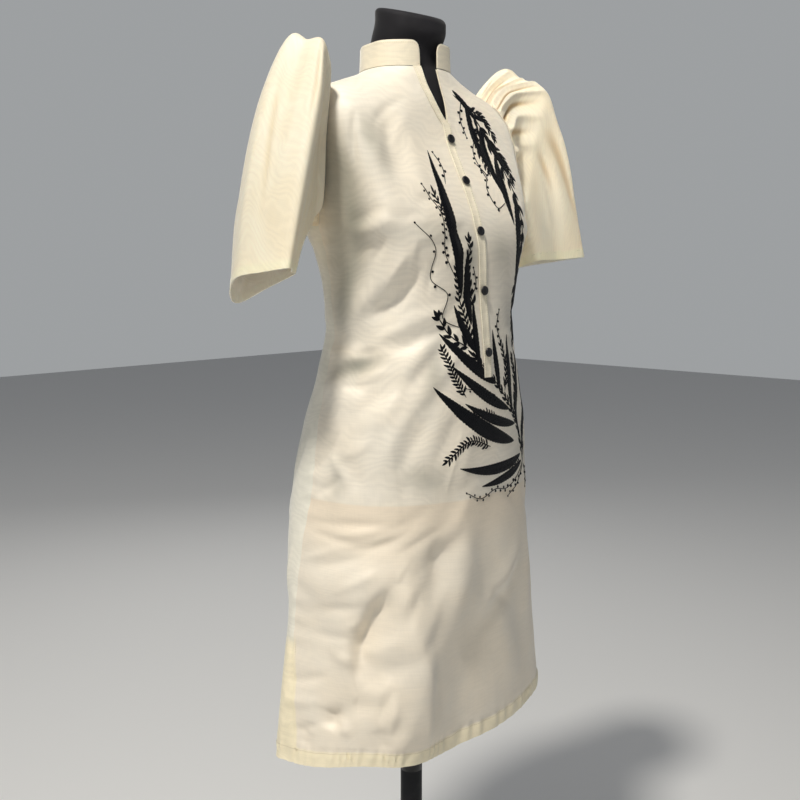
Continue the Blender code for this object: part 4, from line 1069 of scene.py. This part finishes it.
# buttons: round and domed, on thread shanks
buttonShape = {
    "radius": 0.0062, "thick": 0.0036, "segments": 48, "seatLift": 0.0031,
    "heights": (1.307, 1.251, 1.186, 1.110, 1.029),
    # radius and height shares of the outline, from the back's centre to the front's
    "outline": ((0.0, 0.02), (0.34, 0.0), (0.80, 0.0), (0.93, 0.14), (1.0, 0.34), (0.985, 0.56), (0.93, 0.74),
                (0.84, 0.86), (0.76, 0.87), (0.70, 0.80), (0.62, 0.80), (0.44, 0.92), (0.22, 0.985),
                (0.0, 1.0)),
}


def turned(name, outline, segments, sharp=None):
    # a closed turned solid from radius and height pairs, axis to axis
    angle = 2 * math.pi * np.arange(segments) / segments
    ring = np.stack([np.cos(angle), np.sin(angle)], axis=-1)
    rings = np.array(outline[1:-1])
    around = [np.concatenate([ring * r, np.full((segments, 1), h)], axis=1) for r, h in rings]
    vertices = np.concatenate([[(0, 0, outline[0][1])], *around, [(0, 0, outline[-1][1])]])
    faces = (gridQuads(len(around), segments, closed=True) + 1).tolist()
    last = 1 + (len(around) - 1) * segments
    faces += [(0, 1 + (i + 1) % segments, 1 + i) for i in range(segments)]
    faces += [(last + i, last + (i + 1) % segments, len(vertices) - 1) for i in range(segments)]
    return meshPiece(name, vertices, faces, sharp)


def buttonFinish():
    finish = Finish("blackButton", {"Specular IOR Level": 0.4, "Coat Weight": 0.2, "Coat Roughness": 0.2})
    spot = finish.position()
    smear = finish.noise(spot, 420.0, 3.0, 0.6)
    scratch = finish.noise(finish.stretched(spot, 2600, 300, 900), 1.0, 2.0, 0.5)
    finish.feed("Base Color", finish.blend(smear, colour(12, 12, 15), colour(24, 24, 29)))
    finish.feed("Roughness", 0.20 + smear * 0.22 + scratch * 0.06)
    finish.bump(scratch, 0.12, 0.0002)
    return finish.material


def buildButtons():
    finish = buttonFinish()
    outline = [(r * buttonShape["radius"], h * buttonShape["thick"]) for r, h in buttonShape["outline"]]
    for number, z in enumerate(buttonShape["heights"], 1):
        turn = turnAtWidth(np.array(z), -bandShape["overlap"])
        piece = turned(f"button_{number}_dome", outline, buttonShape["segments"])
        place = Vector(bodyNormal(turn, z)).to_track_quat("Z", "Y").to_matrix().to_4x4()
        place.translation = Vector(clothPoint(turn, z, buttonShape["seatLift"]))
        piece.data.transform(place)
        settle(piece, finish, f"button_{number}", slot="buttons")


buildButtons()
print("stage: buttons built")

# dress form: torso and neck in one jersey cover, pole and base
formShape = {
    "bottom": 0.800, "neckRadius": 0.0480, "neckCentre": (-0.004, 0.014), "neckLean": -0.014,
    "neckFoot": 1.3985, "top": 1.480, "tilt": -14, "columns": 144, "frontRoom": 0.0030, "room": 0.0075,
    "gap": 0.0004, "corner": 0.0075,
    # height, radius and how much of the lean and tilt each neck ring has
    "neckHeights": (1.3985, 1.409, 1.423, 1.440, 1.464, 1.4725),
    "neckRings": ((0.0555, 0.0), (0.0510, 0.05), (0.0492, 0.15), (0.0484, 0.45), (0.0480, 1.0),
                  (0.0480, 1.0)),
}


def buildForm():
    z = levels((formShape["bottom"], 0), (1.195, 60), (1.355, 34), (1.391, 12))
    columns = formShape["columns"]
    turns, heights = ringTurns(z, columns)
    room = formShape["room"] * smoothStep((1.372 - heights) / 0.05) * smoothStep((heights - z[0]) / 0.05)
    front = np.maximum(np.cos(turns), 0) ** 2
    inset = shape["ease"](heights) + formShape["frontRoom"] * front + room + formShape["gap"]
    points = bodyPoint(turns, heights, folds=False)
    points = points - bodyNormal(turns, heights, folds=False) * inset[..., None]
    points[0, :, 2] = z[0]
    centre = np.array(formShape["neckCentre"])
    out = unit(points[-1, :, :2] - centre)
    tilt = math.tan(math.radians(formShape["tilt"]))
    top, corner, radius = formShape["top"], formShape["corner"], formShape["neckRadius"]
    neck = smoothTable(formShape["neckHeights"], formShape["neckRings"])
    rings = [(h, *neck(np.array(h))) for h in np.linspace(formShape["neckFoot"], top - corner, 26)]
    for angle in np.radians(np.linspace(9, 90, 10)):
        rise, reach = corner * math.sin(angle), corner * math.cos(angle)
        rings.append((top - corner + rise, radius - corner + reach, 1.0))
    rings += [(top, 0.030, 1.0), (top, 0.018, 1.0), (top, 0.006, 1.0)]
    stack = [points]
    for height, radius, lean in rings:
        across = centre + (0, formShape["neckLean"] * lean) + out * radius
        stack.append(np.column_stack([across, height - out[:, 1] * radius * tilt * lean])[None])
    points = np.concatenate(stack)
    faces = gridQuads(len(points), columns, closed=True).tolist()
    last = (len(points) - 1) * columns
    faces += [list(range(columns))[::-1], list(range(last, last + columns))]
    return meshPiece("form_cover", points.reshape(-1, 3), faces, 50)


def jerseyFinish():
    plain = {"Sheen Weight": 0.10, "Sheen Roughness": 0.4, "Specular IOR Level": 0.3}
    finish = Finish("charcoalJersey", plain)
    spot = finish.position()
    rib = finish.wave(spot, "Z", 330.0, 2.0, 2.0, 2.0)
    lint = finish.noise(spot, 900.0, 2.0, 0.7)
    cloud = finish.noise(spot, 14.0, 2.0, 0.5)
    worn = finish.blend(finish.between(cloud, 0.4, 0.7), colour(24, 23, 27), colour(38, 37, 41))
    finish.feed("Base Color", finish.blend(finish.between(lint, 0.62, 0.80) * 0.4, worn, colour(66, 63, 66)))
    finish.feed("Roughness", 0.72 + rib * 0.12)
    finish.bump(rib * 0.6 + lint * 0.5, 0.35, 0.0004)
    return finish.material


def paintFinish(name, base, worn, rough):
    plain = {"Metallic": 0.55, "Specular IOR Level": 0.5, "Coat Weight": 0.25, "Coat Roughness": 0.25}
    finish = Finish(name, plain)
    spot = finish.position()
    peel = finish.noise(spot, 700.0, 2.0, 0.5)
    dust = finish.noise(spot, 16.0, 4.0, 0.6)
    rub = finish.noise(finish.stretched(spot, 240, 240, 26), 1.0, 3.0, 0.6)
    finish.feed("Base Color", finish.blend(finish.between(dust, 0.50, 0.78) * 0.6, base, worn))
    finish.feed("Roughness", rough + dust * 0.18 + rub * 0.10)
    finish.bump(peel * 0.7 + rub * 0.2, 0.15, 0.0004)
    return finish.material


formCover = settle(buildForm(), jerseyFinish(), "form_torso", "form_neck_cap", slot="form_cover")
poleShape = {"radius": 0.016, "low": 0.0503, "high": 0.7997, "joint": 0.430, "segments": 64}
baseShape = {"radius": 0.185, "thick": 0.022, "corner": 0.008, "hub": 0.034, "hubTop": 0.0245,
             "hubHeight": 0.050, "segments": 128}


def roundedEdge(radius, middle, corner, start):
    # a quarter turn of an outline, from start degrees
    return [(radius - corner + corner * math.cos(a), middle + corner * math.sin(a))
            for a in np.radians(np.linspace(start, start + 90, 9))]


def buildStand():
    # the pole has a telescoping joint with a small collar, inside the solid's radius
    r, low, high, joint = (poleShape[key] for key in ("radius", "low", "high", "joint"))
    outline = [(0, low), (r - 0.001, low), (r, low + 0.001), (r, joint - 0.030), (r - 0.0004, joint - 0.0295),
               (r - 0.0004, joint - 0.0285), (r, joint - 0.028), (r, joint - 0.001), (r - 0.0008, joint),
               (r - 0.0028, joint + 0.0006), (r - 0.0030, joint + 0.002), (r - 0.0030, high - 0.0005),
               (r - 0.0035, high), (0, high)]
    pole = turned("stand_pole", outline, poleShape["segments"], 40)
    finish = paintFinish("satinBlackPole", colour(26, 26, 28), colour(60, 58, 58), 0.28)
    settle(pole, finish, "form_pole", slot="pole")
    r, thick, corner = baseShape["radius"], baseShape["thick"], baseShape["corner"]
    hub, top, rise = baseShape["hub"], baseShape["hubTop"], baseShape["hubHeight"]
    groove = [(r * 0.72, thick), (r * 0.715, thick - 0.0006), (r * 0.70, thick - 0.0006), (r * 0.695, thick)]
    boss = [(hub + 0.004, thick), (hub, thick + 0.0012), (hub - 0.001, thick + 0.004),
            (top + 0.0015, rise - 0.002), (top, rise), (0.018, rise)]
    rim = [*roundedEdge(r, corner, corner, -90), *roundedEdge(r, thick - corner, corner, 0)]
    outline = [(0, 0), *rim, *groove, *boss, (0, rise)]
    base = turned("stand_base", outline, baseShape["segments"], 40)
    finish = paintFinish("castBlackBase", colour(24, 24, 26), colour(64, 62, 60), 0.36)
    settle(base, finish, "form_base", slot="base")


buildStand()
print("stage: form and stand built")

# embroidery: black leafy stems on both fronts, raised satin stitch
# places are (u, z): metres round the dress from the centre front, to the wearer's left, and the height
# angles are degrees from straight up, to the wearer's left
stitchShape = {
    "seat": 0.00068, "leafCrown": 0.00095, "stemCrown": 0.00075, "rim": 0.00012, "stem": 0.0017,
    "tendril": 0.0011, "berry": 0.0021, "stemStep": 0.0026, "leafStep": 0.0014, "veinDip": 0.35,
    "longLeaf": 0.05, "feather": 0.07, "featherPitch": 0.0058, "stemEnd": 0.004,
}


class Stitching:
    # gathers closed domed patches that follow the cloth
    def __init__(self):
        self.points, self.normals, self.faces, self.thick = [], [], [], []
        self.marks = {"along": [], "across": [], "tone": []}
        self.count = 0

    def patch(self, flat, crown, along, across, tone, closed=False):
        # flat holds rows of (u, z) places, crown the height of the stitches over the cloth there
        u, z = flat[..., 0], flat[..., 1]
        turns, thick = turnOfSpot(u, z), stitchShape["rim"] + crown
        self.points.append(flatRows(clothPoint(turns, z, stitchShape["seat"] + thick / 2)))
        self.normals.append(flatRows(bodyNormal(turns, z)))
        self.faces.append(gridQuads(*u.shape, closed=closed) + self.count)
        self.thick.append(thick.ravel())
        for values, kept in zip((along, across, tone), self.marks.values()):
            kept.append(np.broadcast_to(values, thick.shape).ravel())
        self.count += thick.size

    def ribbon(self, path, side, half, s, crown, along, tone):
        # a patch along a path, half as wide to each side, with s running from -1 to 1 across it
        flat = path[:, None] + side[:, None] * (half[:, None] * s)[..., None]
        self.patch(flat, crown, along, s[None], tone)

    def leaf(self, place, angle, length, width, bend, tone=0.5):
        # an almond leaf with a shallow groove down its middle
        t = np.linspace(0, 1, int(np.clip(length / stitchShape["leafStep"], 8, 72)) + 1)
        path, side = arc(place, angle, length, bend, t)
        half = width / 2 * np.sin(math.pi * t ** 0.82) ** 0.85
        if length > stitchShape["longLeaf"]:
            # the long ones have a slightly feathered edge
            feather = np.sin(t * length * 2 * math.pi / stitchShape["featherPitch"])
            half = half * (1 + stitchShape["feather"] * feather)
        half = half + 0.0003
        s = np.linspace(-1, 1, (8 if length > 0.02 else 4) + 1)
        dome = np.sqrt(np.maximum(1 - s ** 2, 0)) * (1 - stitchShape["veinDip"] * bell(s / 0.22))
        crown = stitchShape["leafCrown"] * dome * (np.minimum(half * 2 / 0.006, 1))[:, None]
        slant = (t * length)[:, None] - np.abs(s) * half[:, None] * 1.1
        self.ribbon(path, side, half, s, crown, slant, tone)

    def leafTo(self, foot, end, width, bend):
        # a long leaf from its foot to its tip
        across, up = end - foot
        half = math.radians(bend) / 2
        length = math.hypot(across, up) * half / math.sin(half)
        self.leaf(foot, math.degrees(math.atan2(across, up)) - bend / 2, length, width, bend)

    def stem(self, knots, width=stitchShape["stem"], tone=0.35):
        path = smoothPath(knots)
        side = unit(np.gradient(path, axis=0))[:, ::-1] * (1, -1)
        run = travel(path)
        ends = np.clip(endAway(run) / stitchShape["stemEnd"], 0.25, 1)
        s = np.linspace(-1, 1, 5)
        crown = stitchShape["stemCrown"] * np.sqrt(1 - s ** 2)[None] * ends[:, None]
        self.ribbon(path, side, width / 2 * ends, s, crown, run[:, None] + s * 0.0006, tone)
        return path

    def berry(self, place, radius, around=14, tone=0.7):
        # a round knot of thread
        angle = 2 * math.pi * np.arange(around) / around
        share = np.linspace(1, 0.06, 5)[:, None]
        ring = np.stack([np.cos(angle) * share, np.sin(angle) * share], axis=-1)
        crown = radius * 0.62 * np.sqrt(np.maximum(1 - share ** 2, 0)) * np.ones_like(angle)
        self.patch(place + ring * radius, crown, ring[..., 0] * radius, share, tone, closed=True)
        lid = [(k, k + 1, around - 2 - k, around - 1 - k) for k in range(around // 2 - 1)]
        self.faces.append(np.array(lid) + self.count - around)

    def build(self, name):
        gathered = (self.points, self.normals, self.faces, self.thick)
        points, normals, quads, thick = map(np.concatenate, gathered)
        marks = {key: np.concatenate(values) for key, values in self.marks.items()}
        return shellMesh(name, points, normals, quads, thick, marks)


def arc(place, angle, length, bend, t):
    # a path that starts at a place and turns evenly by bend; also its sideways directions
    angles = np.radians(angle + bend * t)
    step = np.stack([np.sin(angles), np.cos(angles)], axis=-1)
    middle = (step[1:] + step[:-1]) / 2 * np.diff(t)[:, None] * length
    path = np.array(place) + np.concatenate([[(0, 0)], np.cumsum(middle, axis=0)])
    return path, np.stack([step[:, 1], -step[:, 0]], axis=-1)


def smoothPath(knots):
    # an even path through the knots
    chord = travel(knots)
    slopes = np.gradient(knots, chord, axis=0)
    run = np.linspace(0, chord[-1], max(int(chord[-1] / stitchShape["stemStep"]), 6) + 1)
    i = np.clip(np.searchsorted(chord, run, side="right") - 1, 0, len(chord) - 2)
    step = (chord[i + 1] - chord[i])[:, None]
    t = (run - chord[i])[:, None] / step
    return (knots[i] * (2 * t ** 3 - 3 * t ** 2 + 1) + knots[i + 1] * (3 * t ** 2 - 2 * t ** 3)
            + slopes[i] * step * (t ** 3 - 2 * t ** 2 + t) + slopes[i + 1] * step * (t ** 3 - t ** 2))


def heading(way):
    return math.degrees(math.atan2(*way))


def leafyStem(work, knots, pairs, length, width, spread):
    # a stem with pairs of leaves that point on along it, a little uneven, and a leaf at its tip
    path = work.stem(knots)
    ways = unit(np.gradient(path, axis=0))
    for number, share in enumerate(np.linspace(0.08, 0.97, pairs)):
        k = int(share * (len(path) - 1))
        for side in (-1, 1):
            sway = math.sin(number * 2.7 + side * 1.3)
            size = (1 - 0.2 * (share - 0.5)) * (1 + 0.14 * sway)
            shift = min(k + (side > 0), len(path) - 1)
            work.leaf(path[shift], heading(ways[k]) + side * (spread + 7 * sway), length * size, width * size,
                      -side * (24 + 8 * sway), 0.5 + 0.3 * sway)
    work.leaf(path[-2], heading(ways[-1]), length * 1.15, width * 1.05, 6)


def tendril(work, knots, berries):
    # a thin stem with small knots beside it
    path, radius = work.stem(knots, stitchShape["tendril"]), stitchShape["berry"]
    ways = unit(np.gradient(path, axis=0))
    for number in range(berries):
        k = int((0.25 + 0.75 * number / max(berries - 1, 1)) * (len(path) - 1))
        side = 1 if number % 2 else -1
        off = 0 if number == berries - 1 else radius * 1.25
        place = path[k] + side * off * np.array([ways[k][1], -ways[k][0]])
        work.berry(place, radius * (1 - 0.35 * number / berries))


# stems: pairs of leaves, leaf length and width in tenths of a mm, spread, then the knots' u and z in mm
# long leaves: width in tenths of a mm, bend, foot and tip; tendrils: berries and knots
stitchedVines = {
    "embroidery_left": {
        "stems": (
            # the vine: out from the neck, over the bust and down to the waist
            (15, 180, 52, 40, 24, 1370, 50, 1348, 73, 1314, 89, 1270, 97, 1218, 93, 1162, 83, 1108),
            (10, 105, 34, 46, 46, 1352, 70, 1346, 90, 1318),
            (9, 120, 38, 44, 77, 1306, 93, 1292, 105, 1262), (9, 100, 32, 44, 58, 1334, 50, 1302, 54, 1270),
            (10, 130, 40, 40, 91, 1156, 97, 1112, 95, 1066),
            (10, 110, 34, 42, 83, 1108, 75, 1068, 78, 1028),
            # the spray at the hip fans out from one root
            (16, 120, 36, 34, 98, 866, 82, 912, 46, 956, 6, 996, -28, 1026),
            (13, 85, 26, 62, -44, 972, -62, 1002, -74, 1036), (16, 85, 26, 60, 2, 902, -40, 914, -80, 890),
            (11, 75, 24, 58, 26, 930, -4, 948, -34, 948), (13, 100, 32, 44, 70, 930, 72, 972, 60, 1018),
            (15, 110, 34, 40, 100, 874, 112, 925, 110, 990), (9, 90, 30, 46, 36, 974, 40, 1006, 30, 1038),
            (10, 80, 26, 50, 90, 868, 56, 868, 22, 872),
        ),
        "longLeaves": (
            (100, 16, 26, 1376, 60, 1334), (105, -16, 42, 1356, 58, 1272), (130, -24, 64, 1330, 68, 1234),
            (135, -26, 81, 1292, 74, 1196), (105, 18, 66, 1326, 97, 1262), (145, -24, 95, 1236, 82, 1130),
            (120, -16, 97, 1184, 87, 1080), (105, 14, 87, 1118, 85, 1030), (120, 22, 90, 870, -18, 850),
            (150, 32, 86, 880, -60, 880), (215, 36, 62, 902, -92, 988), (135, 26, 66, 926, -46, 964),
            (155, 26, 48, 948, -64, 1014), (155, 22, 14, 986, -76, 1056), (120, 12, 80, 908, 79, 1034),
            (115, 14, 58, 940, 46, 1050), (100, 12, 24, 974, 12, 1058), (115, 4, 102, 880, 126, 996),
        ),
        "tendrils": (
            (7, 36, 1362, 26, 1338, 32, 1312), (7, 54, 1322, 36, 1290, 44, 1256),
            (8, 66, 1226, 46, 1218, 36, 1244, 46, 1262, 32, 1278),
            (18, 98, 868, 70, 850, 40, 838, 14, 842, -22, 834, -50, 846), (7, 94, 862, 66, 836, 46, 826),
            (12, 30, 958, 0, 972, -44, 984), (6, 100, 864, 112, 846, 118, 826),
            (6, 30, 1040, 22, 1062, 30, 1084),
        ),
    },
    "embroidery_right": {
        "stems": (
            (26, 90, 28, 48, -16, 1020, -34, 1062, -46, 1118, -50, 1180, -66, 1236),
            (9, 110, 36, 42, -20, 1086, -30, 1130, -24, 1176),
            (5, 130, 50, 48, -34, 1036, -58, 1050, -76, 1076),
        ),
        "longLeaves": (
            (165, 10, -40, 1104, -50, 1290), (115, 10, -28, 1066, -30, 1164), (95, 8, -18, 1006, -22, 1098),
            (105, 16, -24, 1030, -52, 1092),
        ),
        "tendrils": (
            (7, -38, 1060, -70, 1076, -62, 1106, -84, 1124, -80, 1166, -104, 1196),
            (18, -46, 1120, -66, 1160, -62, 1204, -82, 1244), (5, -40, 1246, -34, 1268, -42, 1288),
            (6, -26, 1100, -16, 1118, -20, 1140),
        ),
    },
}


def buildEmbroidery():
    finish = threadFinish()
    for name, rows in stitchedVines.items():
        work = Stitching()
        for pairs, length, width, spread, *knots in rows["stems"]:
            leafyStem(work, places(knots), pairs, length / 1e4, width / 1e4, spread)
        for width, bend, *ends in rows["longLeaves"]:
            work.leafTo(*places(ends), width / 1e4, bend)
        for berries, *knots in rows["tendrils"]:
            tendril(work, places(knots), berries)
        settle(work.build(name), finish)


def threadFinish():
    finish = Finish("blackSatinThread", {"Specular IOR Level": 0.16})
    along, across, tone = finish.mark("along"), finish.mark("across"), finish.mark("tone")
    spot = finish.position()
    strand = along + finish.noise(spot, 900.0) * 0.0003
    beat = finish.add("ShaderNodeMath", {"operation": "PINGPONG"}, {0: strand, 1: 0.00024})
    thread = finish.between(beat, 0.00002, 0.00022)
    fuzz = finish.noise(spot, 1500.0, 3.0, 0.7)
    base = finish.blend(finish.between(tone + fuzz * 0.4, 0.3, 1.1), colour(4, 5, 8), colour(9, 11, 17))
    finish.feed("Base Color", finish.blend(thread * 0.5, base, colour(14, 16, 24)))
    finish.feed("Roughness", 0.50 - thread * 0.12 + fuzz * 0.12)
    finish.bump(thread * 0.8 + fuzz * 0.25 + (across * across) * 0.1, 0.6, 0.0003)
    return finish.material


buildEmbroidery()
print("stage: embroidery stitched")

# camera, floor and light
camera = {"place": (-1.1147, -1.0037, 1.15), "turn": (82.5, 0.0, -47.354), "lens": 47.93}
lights = (
    # name, place, looks at, size, watts, spread in degrees, colour
    ("ceilingLight", (-1.50, -0.49, 3.85), (0.0, 0.0, 1.0), 0.36, 97, 180, (1.0, 0.96, 0.89)),
    ("frontFill", (-2.0, -1.0, 2.0), (0.0, 0.0, 0.95), 0.8, 4.0, 180, (1.0, 0.97, 0.93)),
    ("sleeveFill", (-1.05, -1.35, 2.05), (0.285, -0.03, 1.325), 0.22, 0.10, 17, (1.0, 0.955, 0.86)),
    ("backFill", (1.6, 2.4, 2.2), (0.0, 0.0, 1.0), 1.6, 12, 180, (1.0, 0.98, 0.95)),
)
surround = {"low": 0.24, "high": 0.62, "pale": (0.34, 0.352, 0.36, 1), "dim": (0.04, 0.045, 0.055, 1),
            "sky": 0.30, "skyTurn": (-8, -16, 0)}


def buildCamera():
    made = bpy.data.cameras.new("photoView")
    made.sensor_width, made.lens, made.clip_start = 36, camera["lens"], 0.05
    eye = placed("photoView", made)
    eye.location = camera["place"]
    eye.rotation_euler = np.radians(camera["turn"])
    bpy.context.scene.camera = eye


def buildLights():
    for name, place, target, size, watts, spread, tint in lights:
        lamp = bpy.data.lights.new(name, "AREA")
        lamp.shape, lamp.size, lamp.energy, lamp.color = "DISK", size, watts, tint
        lamp.spread = math.radians(spread)
        piece = placed(name, lamp)
        piece.location = place
        piece.rotation_euler = (Vector(target) - Vector(place)).to_track_quat("-Z", "Y").to_euler()
    sky = bpy.data.lights.new("skySoft", "SUN")
    sky.energy, sky.angle = surround["sky"], math.radians(60)
    placed("skySoft", sky).rotation_euler = np.radians(surround["skyTurn"])
    # the surround is pale along the horizon and darker overhead
    world = bpy.data.worlds.new("studio")
    world.use_nodes = True
    studio, background = Network(world.node_tree), world.node_tree.nodes["Background"]
    up = studio.add("ShaderNodeSeparateXYZ", {}, {0: studio.add("ShaderNodeTexCoord", {}, {})}, 2)
    fade = studio.between(up, surround["low"], surround["high"])
    tint = studio.blend(fade, surround["pale"], surround["dim"])
    studio.tree.links.new(tint.socket, background.inputs["Color"])
    bpy.context.scene.world = world
    bpy.context.scene.view_settings.view_transform = "Standard"


def buildFloor():
    # a pale flat floor
    mesh = bpy.data.meshes.new("studioFloor")
    size = 9.0
    corners = [(-size, -size, 0), (size, -size, 0), (size, size, 0), (-size, size, 0)]
    mesh.from_pydata(corners, [], [(0, 1, 2, 3)])
    finish = Finish("paleFloor", {"Base Color": (0.84, 0.84, 0.83, 1), "Roughness": 0.9})
    mesh.materials.append(finish.material)
    placed("studioFloor", mesh)


buildCamera()
buildLights()
buildFloor()
print("stage: camera, lights and floor placed")
